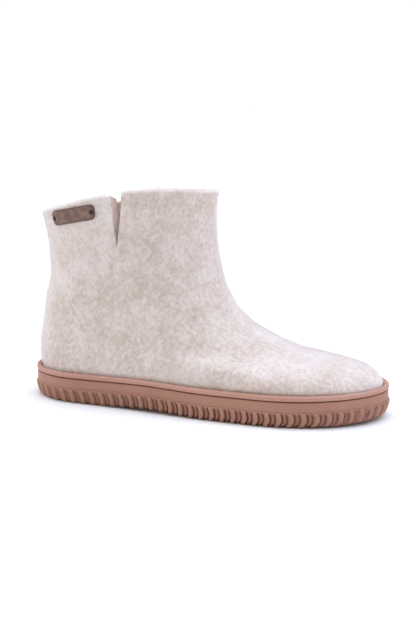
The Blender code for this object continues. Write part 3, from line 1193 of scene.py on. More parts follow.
    def lower_lips(self, rim: Array, drops: Pair, reach: float) -> None:
        """Let the rim fall off towards the cut.

        Args:
            rim: Points of the rim from the front lip round to the back lip, which are moved.
            drops: Drops of the front lip and of the back lip.
            reach: Distance from a lip at which its drop fades out.
        """
        run = path_length(rim)
        for drop, away in zip(drops, (run, run[-1] - run)):
            rim[:, 2] -= drop * (1.0 - smooth(away, 0.0, reach))

    def outward(self, rings: Array, foot_ring: int) -> Array:
        """Outward directions at the points of the cage's rings.

        Args:
            rings: Points of the rings.
            foot_ring: Number of the ring at the foot of the cut.

        Returns:
            Directions of length one, in the same shape.
        """
        along = np.gradient(rings, axis=1)
        seam = rings[:foot_ring + 1, 1] - rings[:foot_ring + 1, -2]
        along[:foot_ring + 1, 0] = seam
        along[:foot_ring + 1, -1] = seam
        return unit(np.cross(along, np.gradient(rings, axis=0)))

    def number(self, skin: Skin, rings: Array, foot_ring: int) -> Array:
        """Add the cage's rings to a skin, closed up to the foot of the cut and split above it.

        Args:
            skin: The skin.
            rings: Points of the rings.
            foot_ring: Number of the ring at the foot of the cut.

        Returns:
            The points' numbers, in rows of one length.
        """
        rows = []
        for index, ring in enumerate(self.last.place(rings)):
            if index <= foot_ring:
                row = skin.add(ring[:-1])
                rows.append(np.append(row, row[0]))
            else:
                rows.append(skin.add(ring))
        return np.stack(rows)

    def cage(self) -> bpy.types.Mesh:
        """Coarse closed cage of the wall.

        Returns:
            Its mesh, which holds each point's share of the inner face.
        """
        rings, foot = self.cage_rings(1.0)
        behind, _ = self.cage_rings(self.slit_inner_share)
        self.lower_lips(rings[-1], self.lip_drop, self.lip_reach)
        skin = Skin()
        outer = self.number(skin, rings, foot)
        first_inner = skin.count
        last_ring = len(rings) - 1
        swell = smooth(np.arange(len(rings)), last_ring - self.swell_rings, last_ring)
        wall = (self.wall + self.rim_swell * swell)[:, None, None]
        behind = behind - self.outward(behind, foot) * wall
        behind[-1, :, 2] += self.rim_bevel
        self.lower_lips(behind[-1], self.inner_lip_drop, self.inner_lip_reach)
        inner = self.number(skin, behind, foot)
        skin.sheet(outer, self.outer_patch)
        skin.sheet(inner, self.inner_patch, flip=True)
        for start, end, patch in (
            (outer[-1], inner[-1], self.rim_patch),
            (inner[0], outer[0], self.seat_patch),
            (inner[foot:, 0], outer[foot:, 0], self.front_lip_patch),
            (outer[foot:, -1], inner[foot:, -1], self.back_lip_patch),
        ):
            skin.sheet(np.stack((start, end)), patch)
        mesh = skin.mesh(self.name)
        set_value(mesh, "inside", (np.arange(skin.count) >= first_inner).astype(float))
        return mesh

    def on_side(self, points: Array, side: Side) -> Array:
        """How far points lie on one side of the foot: 0 near its middle line and 1 well out."""
        return smooth(points[:, 1] * side.value, *self.side_fade)

    def folds(self, points: Array) -> Array:
        """Height of the creases over the plain felt.

        Args:
            points: Points in millimetres.

        Returns:
            Heights in millimetres, below zero in a trough.
        """
        height = np.zeros(len(points))
        for crease in self.creases:
            start = np.array(crease.start)
            along = np.array(crease.end) - start
            offset = points[:, (0, 2)] - start
            share = np.clip(offset @ along / (along @ along), 0.0, 1.0)
            away = np.linalg.norm(offset - share[:, None] * along, axis=1) / crease.width
            form = self.ridge_height * np.exp(-(away - self.ridge_away) ** 2) - np.exp(-away**2)
            height += crease.depth * form * np.sin(np.pi * share) * self.on_side(points, crease.side)
        return height

    def below_rim(self, points: Array) -> Array:
        """Depth of points under the rim on their side of the foot.

        Args:
            points: Points in millimetres.

        Returns:
            Depths in millimetres.
        """
        turns = np.linspace(0.0, 1.0, FINE_STEPS)
        rim = self.surface(turns, np.full(FINE_STEPS, self.top))
        outer = turns <= 0.5
        return np.where(
            points[:, 1] < 0.0,
            np.interp(points[:, 0], rim[outer, 0], rim[outer, 2]),
            np.interp(points[:, 0], rim[~outer, 0][::-1], rim[~outer, 2][::-1]),
        ) - points[:, 2]

    def painted_light(self, points: Array, below: Array) -> Array:
        """Painted light and shade on the wool: a painted highlight along the rim's rounded top, and painted
        light and shade in the patches.

        Args:
            points: Points in millimetres.
            below: Their depths under the rim.

        Returns:
            Tones, below zero where shade is painted.
        """
        tone = self.rim_highlight * (1.0 - smooth(below, *self.rim_highlight_band))
        for shade in self.light_patches:
            away = (points[:, (0, 2)] - np.array(shade.middle)) / np.array(shade.reach)
            tone += shade.tone * np.exp(-(away**2).sum(axis=1)) * self.on_side(points, shade.side)
        return tone

    def lumps(self, points: Array) -> Array:
        """Unevenness of hand-felted wool.

        Args:
            points: Points in millimetres.

        Returns:
            Heights in millimetres.
        """
        height = np.zeros(len(points))
        for size, depth in self.lump_sizes:
            height += depth * np.array([noise.noise(Vector(point)) for point in points / size])
        return height

    def build(self) -> bpy.types.Object:
        """Make the wall: a subdivided cage with its creases and lumps.

        Returns:
            The piece, whose mesh holds its tone of painted light and shade and its share of painted inner
            shade.
        """
        piece = add_object(self.name, self.cage())
        soften = piece.modifiers.new("soften", "SUBSURF")
        soften.levels = self.subdivisions
        soften.render_levels = self.subdivisions
        apply_modifiers(piece)
        mesh = piece.data
        mesh.shade_smooth()
        places = get_points(mesh)
        points = self.last.measure(places)
        inside = get_value(mesh, "inside")
        below = self.below_rim(points)
        roll = self.roll_depth * np.exp(-((below - self.roll_below) / self.roll_width) ** 2)
        move = (self.folds(points) + self.lumps(points)) * (1.0 - 2.0 * inside) - roll * (1.0 - inside)
        set_points(mesh, places + get_normals(mesh) * move[:, None] * MM)
        # Painted shade on the inner face and on the cut's lips
        lips = smooth(below, *self.lip_shade_below) * smooth(inside, *self.lip_shade_from)
        set_value(mesh, "inner_shade", np.maximum(self.lip_shade * lips, smooth(inside, *self.inner_shade_from)))
        # Painted highlight along the rim and painted light and shade in the patches, on the outer face only
        set_value(mesh, "tone", self.painted_light(points, below) * (1.0 - inside))
        return piece


@dataclass
class Nap(SubAssembly):
    """Loose hairs that lie on the felt and stand off its edges."""

    name: ClassVar[str] = "felt_nap"
    slot: ClassVar[str] = "felt"
    # Sides, tip and foot of a hair, by the numbers of its root's corners, its middle's corners and its tip
    faces: ClassVar[tuple[tuple[int, ...], ...]] = (
        (0, 1, 4, 3), (1, 2, 5, 4), (2, 0, 3, 5), (3, 4, 6, 6), (4, 5, 6, 6), (5, 3, 6, 6), (0, 2, 1, 1),
    )
    sides: ClassVar[int] = 3
    count: int = 15000
    length: Pair = (1.0, 3.2)
    width: float = 0.045
    taper: float = 0.8
    rise: Pair = (0.04, 0.42)
    tip_rise: Pair = (-0.2, 1.0)
    bend: float = 0.7
    keep_above: float = 24.5
    inside_limit: float = 0.75
    tag_margin: float = 1.8
    cells: int = 128
    cell_margin: float = 0.1
    seed: int = 11

    def roots(self, felt: bpy.types.Mesh, rng: np.random.Generator) -> tuple[Array, Array]:
        """Places on the felt where hairs grow.

        Args:
            felt: Mesh of the felt wall.
            rng: Source of the chances.

        Returns:
            The places in metres and the felt's outward directions there.
        """
        felt.calc_loop_triangles()
        corners = np.zeros(len(felt.loop_triangles) * 3, np.int32)
        felt.loop_triangles.foreach_get("vertices", corners)
        corners = corners.reshape(-1, 3)
        points = get_points(felt)[corners]
        inside = get_value(felt, "inside")[corners].mean(axis=1)
        face = np.cross(points[:, 1] - points[:, 0], points[:, 2] - points[:, 0])
        middle = points.mean(axis=1)
        low, high = (np.array(corner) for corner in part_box("tag"))
        margin = self.tag_margin * MM
        under_tag = ((middle > low - margin) & (middle < high + margin)).all(axis=1)
        wanted = (inside < self.inside_limit) & (middle[:, 2] > self.keep_above * MM) & ~under_tag
        weight = np.linalg.norm(face, axis=1) * wanted
        picks = rng.choice(len(corners), self.count, p=weight / weight.sum())
        shares = rng.dirichlet((1.0, 1.0, 1.0), self.count)
        return (points[picks] * shares[..., None]).sum(axis=1), unit(face[picks])

    def cell_spots(self) -> Array:
        """Square of its own for each hair on the flat map.

        Returns:
            The squares' corners, hair by hair.
        """
        cell = np.arange(self.count)
        corner = np.stack((cell % self.cells, cell // self.cells), axis=-1) / self.cells
        low, high = self.cell_margin, 1.0 - self.cell_margin
        return corner[:, None] + np.array(((low, low), (high, low), (high, high), (low, high))) / self.cells

    def build(self, felt: bpy.types.Mesh) -> bpy.types.Object:
        """Make every hair as a closed, bent sliver of three sides, in one mesh.

        Args:
            felt: Mesh of the felt wall.

        Returns:
            The piece.
        """
        rng = np.random.default_rng(self.seed)
        single = (self.count, 1)
        root, outward = self.roots(felt, rng)
        along = unit(np.cross(outward, rng.normal(size=root.shape)))
        across = np.cross(outward, along)
        half_length = rng.uniform(*self.length, single) * MM / 2.0
        rise = rng.uniform(*self.rise, single)
        swing = rng.uniform(-self.bend, self.bend, single)
        first = unit(along + outward * rise)
        second = unit(along + across * swing + outward * rise * rng.uniform(*self.tip_rise, single))
        middle = root + first * half_length
        tip = middle + second * half_length
        points = []
        for centre, share in ((root - outward * self.width * MM, 1.0), (middle, self.taper)):
            for angle in np.arange(self.sides) * 2.0 * np.pi / self.sides:
                spoke = across * np.cos(angle) + outward * np.sin(angle)
                points.append(centre + spoke * self.width * share * MM / 2.0)
        skin = Skin()
        numbers = skin.add(np.stack((*points, tip), axis=1))
        spots = self.cell_spots()
        for face in self.faces:
            skin.faces.append(numbers[:, face])
            skin.spots.append(spots)
        return add_object(self.name, skin.mesh(self.name))


class SoleRow(NamedTuple):
    """One row up the sole's side: its inset and height, and its shares of the ribs' and the waves' depth."""

    inset: float
    z: float
    rib: float = 0.0
    wave: float = 0.0


# From the edge of the tread, over the ribs and the band to the top of the wall and down into the cup
SOLE_ROWS = (
    SoleRow(5.0, 0.0, 0.10, 1.0),
    SoleRow(4.3, 0.12, 0.30, 1.0),
    SoleRow(3.5, 0.45, 0.55, 0.92),
    SoleRow(2.7, 1.0, 0.80, 0.72),
    SoleRow(2.0, 1.8, 1.0, 0.45),
    SoleRow(1.5, 2.8, 1.0, 0.20),
    SoleRow(1.05, 3.9, 1.0, 0.05),
    SoleRow(0.7, 5.2, 1.0),
    SoleRow(0.35, 6.6, 1.0),
    SoleRow(0.1, 7.9, 1.0),
    SoleRow(0.0, 8.8, 0.97),
    SoleRow(0.05, 9.4, 0.85),
    SoleRow(0.25, 9.9, 0.55),
    SoleRow(0.65, 10.25, 0.20),
    SoleRow(1.1, 10.45),
    SoleRow(1.4, 10.65),
    SoleRow(1.25, 10.95),
    SoleRow(1.02, 11.5),
    SoleRow(1.0, 14.0),
    SoleRow(1.0, 16.8),
    SoleRow(1.08, 17.4),
    SoleRow(1.35, 17.8),
    SoleRow(1.8, 18.0),
    SoleRow(4.2, 18.2),
    SoleRow(4.2, 14.0),
    SoleRow(4.2, 10.0),
)


@dataclass
class CupSole(SubAssembly):
    """Moulded cup sole: wave tread, bare plate, ribbed lower side, smooth band and the cup."""

    name: ClassVar[str] = "cup_sole"
    slot: ClassVar[str] = "sole_rubber"
    nodes: ClassVar[Names] = ("outsole",)
    last: Last
    pitch: float = 7.9
    groove_line: float = 1.6
    groove_floor: float = 0.1
    groove_half: float = 1.05
    groove_depth: float = 2.0
    ridge_flank: float = 0.5
    ridge_sink: float = 0.3
    rib_depth: float = 1.9
    rib_bow: float = 0.17
    rib_top: float = 10.4
    rib_half: float = 1.25
    rib_sink: float = 0.5
    wave_half_period: float = 8.8
    wave_height: float = 2.45
    wave_round: float = 0.6
    wave_from_edge: Pair = (0.3, 5.0)
    wave_start: Pair = (6.0, 12.0)
    wave_end: Pair = (258.0, 264.0)
    cut_from_edge: Pair = (0.0, 2.5)
    cut_start: Pair = (7.0, 10.0)
    cut_end: Pair = (260.0, 263.0)
    anchor_x: float = 172.0
    straight_from: Pair = (0.80, 0.97)
    rungs: int = 88
    cup_rungs: int = 6
    end_span: float = 6.0
    end_steps: int = 16
    end_gap: float = 0.3
    groove_steps: tuple[float, ...] = (-2.7, -2.2, -1.6, -1.0, -0.5, 0.0, 0.5, 1.0, 1.6, 2.2, 2.7, 3.5, 4.4)
    plate_size: Pair = (19.5, 45.0)
    plate_middle: Pair = (133.0, -5.5)
    plate_radius: float = 4.0
    plate_recess: float = 0.4
    plate_edge: float = 0.35
    plate_root: float = 6.0
    corner_steps: int = 8
    edge_steps: int = 3
    moat: float = 1.4
    moat_depth: float = 2.4
    moat_low: float = -1.0
    crisp_deg: float = 50.0
    side_patch: Patch = Patch(0.0, 0.0, 1.0, 0.36)
    tread_patch: Patch = Patch(0.0, 0.38, 1.0, 0.82)
    cup_patch: Patch = Patch(0.0, 0.84, 1.0, 1.0)
    start: float = field(init=False)

    def __post_init__(self) -> None:
        """Let a groove run out between two ribs at the widest place of the outer side."""
        turns = np.linspace(0.0, 0.5, FINE_STEPS)
        side = self.last.points(self.last.outline(0.0, 0.0), turns)
        run = path_length(side)
        valleys = np.linspace(0.0, run[-1], round(run[-1] / self.pitch) + 1)
        x = np.interp(valleys, run, side[:, 0])
        self.start = float(x[np.argmin(abs(x - self.anchor_x))] % self.pitch)

    def swing(self, y: Array) -> Array:
        """Shift of a wave along the foot, a zigzag with rounded turns."""
        beat = np.arcsin(self.wave_round * np.cos(np.pi * y / self.wave_half_period))
        return -self.wave_height * beat / math.asin(self.wave_round)

    def phase(self, x: Array) -> Array:
        """Number of waves from the heel at the edge of the tread, whole in the middle of a groove."""
        return (x - self.start) / self.pitch

    def twin_groove(self, phase: Array, half: float, sink: float) -> Array:
        """Share of the depth in two grooves with a thin, lower ridge between them.

        Args:
            phase: Numbers that are whole on the thin ridge.
            half: Half width of a groove.
            sink: Depth of the thin ridge's top, as a share.

        Returns:
            0 on a crest and 1 in the grooves.
        """
        away = abs(phase - np.round(phase)) * self.pitch
        cut = 1.0 - smooth(abs(away - self.groove_line), self.groove_floor, half)
        thin = 1.0 - smooth(away, self.groove_line - self.ridge_flank, self.groove_line + self.ridge_flank)
        return np.maximum(cut, sink * thin)

    def groove(self, phase: Array) -> Array:
        """Height of the tread's face over a crest, in millimetres."""
        return self.groove_depth * self.twin_groove(phase, self.groove_half, self.ridge_sink)

    def stations(self, back: float, front: float) -> Array:
        """Distances from the heel at which rungs cross the tread, closest in the grooves and at the ends.

        Args:
            back: Distance of the tread's back end.
            front: Distance of its front end.

        Returns:
            The distances, rising from back to front.
        """
        margin = self.end_span + self.end_gap
        grooves = self.start + self.pitch * np.arange(-1.0, front / self.pitch + 1.0)
        inner = (grooves[:, None] + np.array(self.groove_steps)).ravel()
        inner = inner[(inner > back + margin) & (inner < front - margin)]
        ends = self.end_span * np.linspace(0.0, 1.0, self.end_steps + 1) ** 2
        return np.sort(np.concatenate((back + ends, inner, front - ends)))

    def rib_phase(self, ring: Array) -> tuple[Array, Array]:
        """Number of ribs along the tread's edge, in step with the waves where these run out on the sides.

        Args:
            ring: The tread's edge, from the heel along the outer side to the toe and back.

        Returns:
            Numbers that are whole in a valley, and shares of the straight sides: 1 on them, 0 at the ends.
        """
        middle = len(ring) // 2
        sides = (ring[:middle + 1], np.concatenate((ring[middle:], ring[:1]))[::-1])
        counted, straights = [], []
        for side in sides:
            steps = np.diff(side[:, :2], axis=0)
            spans = np.linalg.norm(steps, axis=1)
            straight = smooth(abs(steps[:, 0]) / spans, *self.straight_from)
            plain = (1.0 - straight) * spans / self.pitch
            count = np.concatenate(([0.0], np.cumsum(straight * steps[:, 0] / self.pitch + plain)))
            slack = np.concatenate(([0.0], np.cumsum(plain)))
            anchor = int(np.argmin(abs(side[:, 0] - self.anchor_x)))
            count += self.phase(side[anchor, 0]) - count[anchor]
            for end, part in ((0, slice(0, anchor)), (-1, slice(anchor, None))):
                share = (slack[part] - slack[anchor]) / (slack[end] - slack[anchor])
                count[part] += (np.round(count[end]) - count[end]) * share
            counted.append(count)
            straights.append(np.append(straight[0], straight))
        return tuple(np.concatenate((outer, inner[-2:0:-1])) for outer, inner in (counted, straights))

    def body(self) -> bpy.types.Mesh:
        """Closed mesh of the sole without its plate.

        Returns:
            The mesh, which holds how deep in a groove each point lies.
        """
        last = self.last
        edge = last.outline(SOLE_ROWS[0].inset, SOLE_ROWS[0].z)
        turns = last.turn_at(edge, self.stations(edge[0], edge[2]))
        around = np.concatenate((turns, 1.0 - turns[-2:0:-1]))
        count, straight = self.rib_phase(last.points(edge, around))
        inset, z, rib, wave = np.array(SOLE_ROWS).T[..., None]
        bow = self.rib_bow * np.sin(np.pi * np.minimum(z / self.rib_top, 1.0))
        ribs = rib * self.twin_groove(count - bow, self.rib_half, self.rib_sink)
        rings = last.points(last.outline(inset + self.rib_depth * ribs, z), around)
        notch = wave * straight * self.groove(count)
        rings[..., 2] += notch
        tread = bridge(rings[0], self.rungs)
        self.bend(tread, rings[0], straight)
        cup = bridge(rings[-1], self.cup_rungs)

        skin = Skin()
        numbers = skin.add_rings(last.place(rings))
        skin.sheet(numbers, self.side_patch)
        skin.rung_sheet(numbers[0], last.place(tread), self.tread_patch, faces_down=True)
        skin.rung_sheet(numbers[-1], last.place(cup), self.cup_patch, faces_down=False)
        mesh = skin.mesh(self.name)
        side_deep = np.maximum(ribs, notch / self.groove_depth)
        tread_deep = (tread[..., 2] - last.lift(tread[..., 0])) / self.groove_depth
        cup_deep = np.zeros(cup[..., 2].size)
        set_value(mesh, "deep", np.concatenate((side_deep.ravel(), tread_deep.ravel(), cup_deep)))
        return mesh

    def bend(self, grid: Array, ring: Array, straight: Array) -> None:
        """Bend the rungs under the foot into waves and cut their grooves.

        Args:
            grid: Inner points of the rungs, which are moved.
            ring: Points of the tread's edge.
            straight: Shares of the straight sides, for the edge's points.
        """
        middle = len(ring) // 2
        x, y = grid[..., 0].copy(), grid[..., 1]
        outer_gap = y - ring[1:middle, None, 1]
        inner_gap = ring[:middle:-1, None, 1] - y
        gap = np.minimum(outer_gap, inner_gap)
        runs_out = np.where(outer_gap < inner_gap, straight[1:middle, None], straight[:middle:-1, None])
        waved = smooth(x, *self.wave_start) * (1.0 - smooth(x, *self.wave_end))
        grid[..., 0] = x + self.swing(y) * waved * smooth(gap, *self.wave_from_edge)
        ends = smooth(x, *self.cut_start) * (1.0 - smooth(x, *self.cut_end))
        cut = (runs_out + (1.0 - runs_out) * smooth(gap, *self.cut_from_edge)) * ends
        grid[..., 2] = self.last.lift(grid[..., 0]) + cut * self.groove(self.phase(x))

    def block(self, grow: float, low: float, high: float, edge: float) -> bpy.types.Object:
        """Upright block with round corners at the plate's place, bent with the sole.

        Args:
            grow: Distance by which it passes the plate on each side.
            low: Height of its lower face.
            high: Height of its upper face.
            edge: Rounding of its lower edge.

        Returns:
            The block, as an object.
        """
        bm = bmesh.new()
        bmesh.ops.create_cube(bm, size=1.0)
        width, depth = (size + 2.0 * grow for size in self.plate_size)
        bmesh.ops.scale(bm, vec=(width, depth, high - low), verts=bm.verts)
        rounding = {"profile": ROUND_PROFILE, "affect": "EDGES"}
        upright = [item for item in bm.edges if item.verts[0].co.z * item.verts[1].co.z < 0.0]
        bmesh.ops.bevel(
            bm, geom=upright, offset=self.plate_radius + grow, segments=self.corner_steps, **rounding)
        if edge > 0.0:
            rim = [item for item in bm.edges if max(vert.co.z for vert in item.verts) < 0.0]
            bmesh.ops.bevel(bm, geom=rim, offset=edge, segments=self.edge_steps, **rounding)
        middle = np.array((*self.plate_middle, (low + high) / 2.0))
        for vert in bm.verts:
            point = np.array(vert.co) + middle
            point[2] += self.last.lift(point[0])
            vert.co = self.last.place(point)
        mesh = bpy.data.meshes.new("plate_block")
        bm.to_mesh(mesh)
        bm.free()
        return add_object("plate_block", mesh)

    def build(self) -> bpy.types.Object:
        """Make the sole, with the plate in its pocket.

        Returns:
            The piece.
        """
        piece = add_object(self.name, self.body())
        pocket = self.block(self.moat, self.moat_low, self.moat_depth, 0.0)
        plate = self.block(0.0, self.plate_recess, self.plate_root, self.plate_edge)
        for operation, tool in (("DIFFERENCE", pocket), ("UNION", plate)):
            cut = piece.modifiers.new(operation.lower(), "BOOLEAN")
            cut.operation = operation
            cut.solver = "MANIFOLD"
            cut.object = tool
        apply_modifiers(piece)
        for tool in (pocket, plate):
            bpy.data.objects.remove(tool)
        piece.data.shade_smooth()
        piece.data.set_sharp_from_angle(angle=math.radians(self.crisp_deg))
        return piece


@dataclass
class Rand(SubAssembly):
    """Smooth bead round the top of the sole, falling towards the felt."""

    name: ClassVar[str] = "rand_bead"
    slot: ClassVar[str] = "rand_rubber"
    nodes: ClassVar[Names] = ("rand",)
    last: Last
    steps: int = 420
    crisp_deg: float = 60.0
    # Inset and height, from the foot of the bead over its face and top to the felt
    profile: tuple[Pair, ...] = (
        (1.7, 18.62), (1.1, 18.72), (0.75, 19.0), (0.6, 19.5), (0.57, 20.2), (0.62, 20.9), (0.8, 21.5),
        (1.15, 22.0), (1.7, 22.25), (2.3, 22.25), (2.9, 22.05), (3.5, 21.7), (4.15, 21.2), (4.15, 18.62),
    )

    def build(self) -> bpy.types.Object:
        """Run the bead's profile round the foot.

        Returns:
            The piece.
        """
        turns = np.linspace(0.0, 1.0, self.steps + 1)
        run = path_length(self.last.points(self.last.outline(0.0, 0.0), turns))
        even = np.interp(np.linspace(0.0, run[-1], self.steps, endpoint=False), run, turns)
        inset, z = np.array(self.profile).T[..., None]
        skin = Skin()
        numbers = skin.add_rings(self.last.place(self.last.points(self.last.outline(inset, z), even)))
        skin.sheet(np.concatenate((numbers, numbers[:1])), WHOLE_MAP)
        mesh = skin.mesh(self.name)
        set_value(mesh, "deep", np.zeros(skin.count))
        mesh.set_sharp_from_angle(angle=math.radians(self.crisp_deg))
        return add_object(self.name, mesh)


@dataclass
class Footbed(SubAssembly):
    """Loose felt insole, dished a little under the heel."""

    name: ClassVar[str] = "felt_footbed"
    slot: ClassVar[str] = "footbed_felt"
    nodes: ClassVar[Names] = ("insole",)
    last: Last
    steps: int = 160
    rungs: int = 28
    edge_steps: int = 8
    inset: float = 10.1
    low: float = 10.3
    high: float = 15.3
    edge: float = 1.1
    dish: float = 0.5
    dish_middle: Pair = (52.0, 0.0)
    dish_reach: Pair = (34.0, 24.0)
    edge_patch: Patch = Patch(0.0, 0.0, 1.0, 0.1)
    low_patch: Patch = Patch(0.0, 0.12, 1.0, 0.54)
    high_patch: Patch = Patch(0.0, 0.56, 1.0, 1.0)

    def build(self) -> bpy.types.Object:
        """Make the footbed from its rounded edge and the rungs across its two faces.

        Returns:
            The piece.
        """
        arc = np.linspace(0.0, np.pi, self.edge_steps + 1)[:, None]
        inset = self.inset + self.edge * (1.0 - np.sin(arc))
        z = (self.low + self.high) / 2.0 - (self.high - self.low) / 2.0 * np.cos(arc)
        rings = self.last.points(self.last.outline(inset, z), np.arange(self.steps) / self.steps)
        low, high = bridge(rings[0], self.rungs), bridge(rings[-1], self.rungs)
        away = (high[..., :2] - np.array(self.dish_middle)) / np.array(self.dish_reach)
        high[..., 2] -= self.dish * np.exp(-(away**2).sum(axis=-1))
        skin = Skin()
        numbers = skin.add_rings(self.last.place(rings))
        skin.sheet(numbers, self.edge_patch)
        skin.rung_sheet(numbers[0], self.last.place(low), self.low_patch, faces_down=True)
        skin.rung_sheet(numbers[-1], self.last.place(high), self.high_patch, faces_down=False)
        return add_object(self.name, skin.mesh(self.name))


@dataclass
class LeatherTag(SubAssembly):
    """Small bare leather tag under the rim, bent to the felt and pressed in where its studs sit."""

    name: ClassVar[str] = "leather_tag"
    slot: ClassVar[str] = "tag_leather"
    nodes: ClassVar[Names] = ("tag",)
    felt: FeltUpper
    length: float = 41.5
    height: float = 11.0
    radius: float = 4.0
    thickness: float = 1.5
    soft_edge: float = 0.9
    dark_edge: float = 2.2
    sink: float = 0.25
    middle_x: float = 48.2
    below_rim: float = 9.0
    tilt: float = 0.055
    long_steps: int = 96
    short_steps: int = 28
    turn_step: float = 0.002
    stud_from_end: float = 2.4
    dimple: float = 0.28
    dimple_reach: float = 2.4
    face_patch: Patch = Patch(0.0, 0.0, 1.0, 0.48)
    back_patch: Patch = Patch(0.0, 0.52, 1.0, 1.0)

    def stud_along(self, end: End) -> float:
        """Run along the rim from the tag's middle to a stud."""
        return end.value * (self.length / 2.0 - self.stud_from_end)

    def middle(self, along: Array) -> Array:
        """Depth of the tag's middle line under the rim, by runs along the rim."""
        return self.below_rim + self.tilt * along

    def on_felt(self, along: Array, down: Array) -> tuple[Array, Array]:
        """Points of the felt under the rim.

        Args:
            along: Runs along the rim from the tag's middle, one for each row.
            down: Depths under the rim, in rows.

        Returns:
            Points in millimetres and the felt's outward directions there.
        """
        top = self.felt.top
        turns = np.linspace(0.0, 0.5, FINE_STEPS)
        rim = self.felt.surface(turns, np.full(FINE_STEPS, top))
        run = path_length(rim)
        turn = np.interp(np.interp(self.middle_x, rim[:, 0], run) + along, run, turns)[:, None]
        levels = np.linspace(top, top / 2.0, FINE_STEPS)
        depths = path_length(self.felt.surface(turn, levels[None]))
        level = np.stack([np.interp(row, depth, levels) for row, depth in zip(down, depths)])
        step = self.turn_step
        points = self.felt.surface(turn, level)
        across = self.felt.surface(turn + step, level) - self.felt.surface(turn - step, level)
        upward = points - self.felt.surface(turn, level - step)
        return points, unit(np.cross(across, upward))

    def face_height(self, along: Array, down: Array, edge: Array) -> Array:
        """Height of the tag's face over the felt, rounded off at the edge and pressed in round the studs.

        Args:
            along: Runs along the rim from the tag's middle.
            down: Depths under the rim.
            edge: Distances from the tag's edge.

        Returns:
            Heights in millimetres.
        """
        share = np.clip(edge / self.soft_edge, 0.0, 1.0)
        height = self.thickness * np.sqrt(1.0 - (1.0 - share) ** 2)
        for end in End:
            away = np.hypot(along - self.stud_along(end), down - self.middle(along)) / self.dimple_reach
            height = height - self.dimple * np.exp(-away**2) * share
        return height

    def build(self) -> bpy.types.Object:
        """Make the tag from a grid over its rounded outline, and its flat back.

        Returns:
            The piece, whose mesh holds each point's nearness to the edge.
        """
        half_length = self.length / 2.0
        along = np.sin(np.pi / 2.0 * np.linspace(-1.0, 1.0, self.long_steps + 1)) * half_length
        past = np.maximum(0.0, abs(along) - (half_length - self.radius))
        half = (self.height / 2.0 - (self.radius - np.sqrt(self.radius**2 - past**2)))[:, None]
        share = np.sin(np.pi / 2.0 * np.linspace(-1.0, 1.0, self.short_steps + 1))
        down = self.middle(along)[:, None] - half * share
        felt, outward = self.on_felt(along, down)
        edge = np.minimum(half * (1.0 - abs(share)), (half_length - abs(along))[:, None])
        front = felt + outward * self.face_height(along[:, None], down, edge)[..., None]
        back = (felt - outward * self.sink)[1:-1, 1:-1]
        skin = Skin()
        place = self.felt.last.place
        numbers = skin.add(place(front))
        behind = numbers.copy()
        behind[1:-1, 1:-1] = skin.add(place(back))
        skin.sheet(numbers, self.face_patch, flip=True)
        skin.sheet(behind, self.back_patch)
        mesh = skin.mesh(self.name)
        near = 1.0 - smooth(edge, 0.0, self.dark_edge)
        set_value(mesh, "edge", np.concatenate((near.ravel(), np.ones(back[..., 0].size))))
        return add_object(self.name, mesh)


@dataclass
class Stud(SubAssembly):
    """Domed stud that holds one end of the tag."""

    slot: ClassVar[str] = "stud_metal"
    tag: LeatherTag
    end: End
    radius: float = 1.75
    height: float = 0.95
    wall: float = 0.12
    sink: float = 0.25
    foot_share: float = 0.86
    dome_power: float = 0.8
    dome_steps: int = 7
    steps: int = 28
    run_step: float = 0.5

    @property
    def name(self) -> str:
        """Name of the piece."""
        return f"stud_{self.end.name.lower()}"

    @property
    def nodes(self) -> Names:
        """Solid that the stud stands for."""
        return (f"rivet_{self.end.name.lower()}",)

    def build(self) -> bpy.types.Object:
        """Turn the stud's dome about the felt's outward direction.

        Returns:
            The piece.
        """
        along = self.tag.stud_along(self.end)
        runs = np.array((along, along + self.run_step))
        felt, outward = self.tag.on_felt(runs, self.tag.middle(runs)[:, None])
        up = outward[0, 0]
        right = unit(felt[1, 0] - felt[0, 0])
        right = unit(right - up * (right @ up))
        over = np.cross(up, right)
        base = felt[0, 0] + up * (self.tag.thickness - self.tag.dimple)
        arc = np.linspace(0.0, np.pi / 2.0, self.dome_steps, endpoint=False)
        reach = np.append(self.foot_share, np.cos(arc) ** self.dome_power) * self.radius
        rise = np.append(-self.sink, self.wall + np.sin(arc) * (self.height - self.wall))
        angle = np.linspace(0.0, 2.0 * np.pi, self.steps, endpoint=False)
        spokes = np.cos(angle)[:, None] * right + np.sin(angle)[:, None] * over
        place = self.tag.felt.last.place
        skin = Skin()
        numbers = skin.add_rings(place(base + reach[:, None, None] * spokes + rise[:, None, None] * up))
        bottom, top = skin.add(place(np.stack((base - self.sink * up, base + self.height * up))))
        skin.sheet_to_points(bottom, numbers, top, WHOLE_MAP)
        return add_object(self.name, skin.mesh(self.name))


class Lamp(NamedTuple):
    """A soft, distant lamp: the way to it, its colour and strength, and how wide it looks."""

    name: str
    toward: Triple
    colour: Colour
    strength: float
    width_deg: float


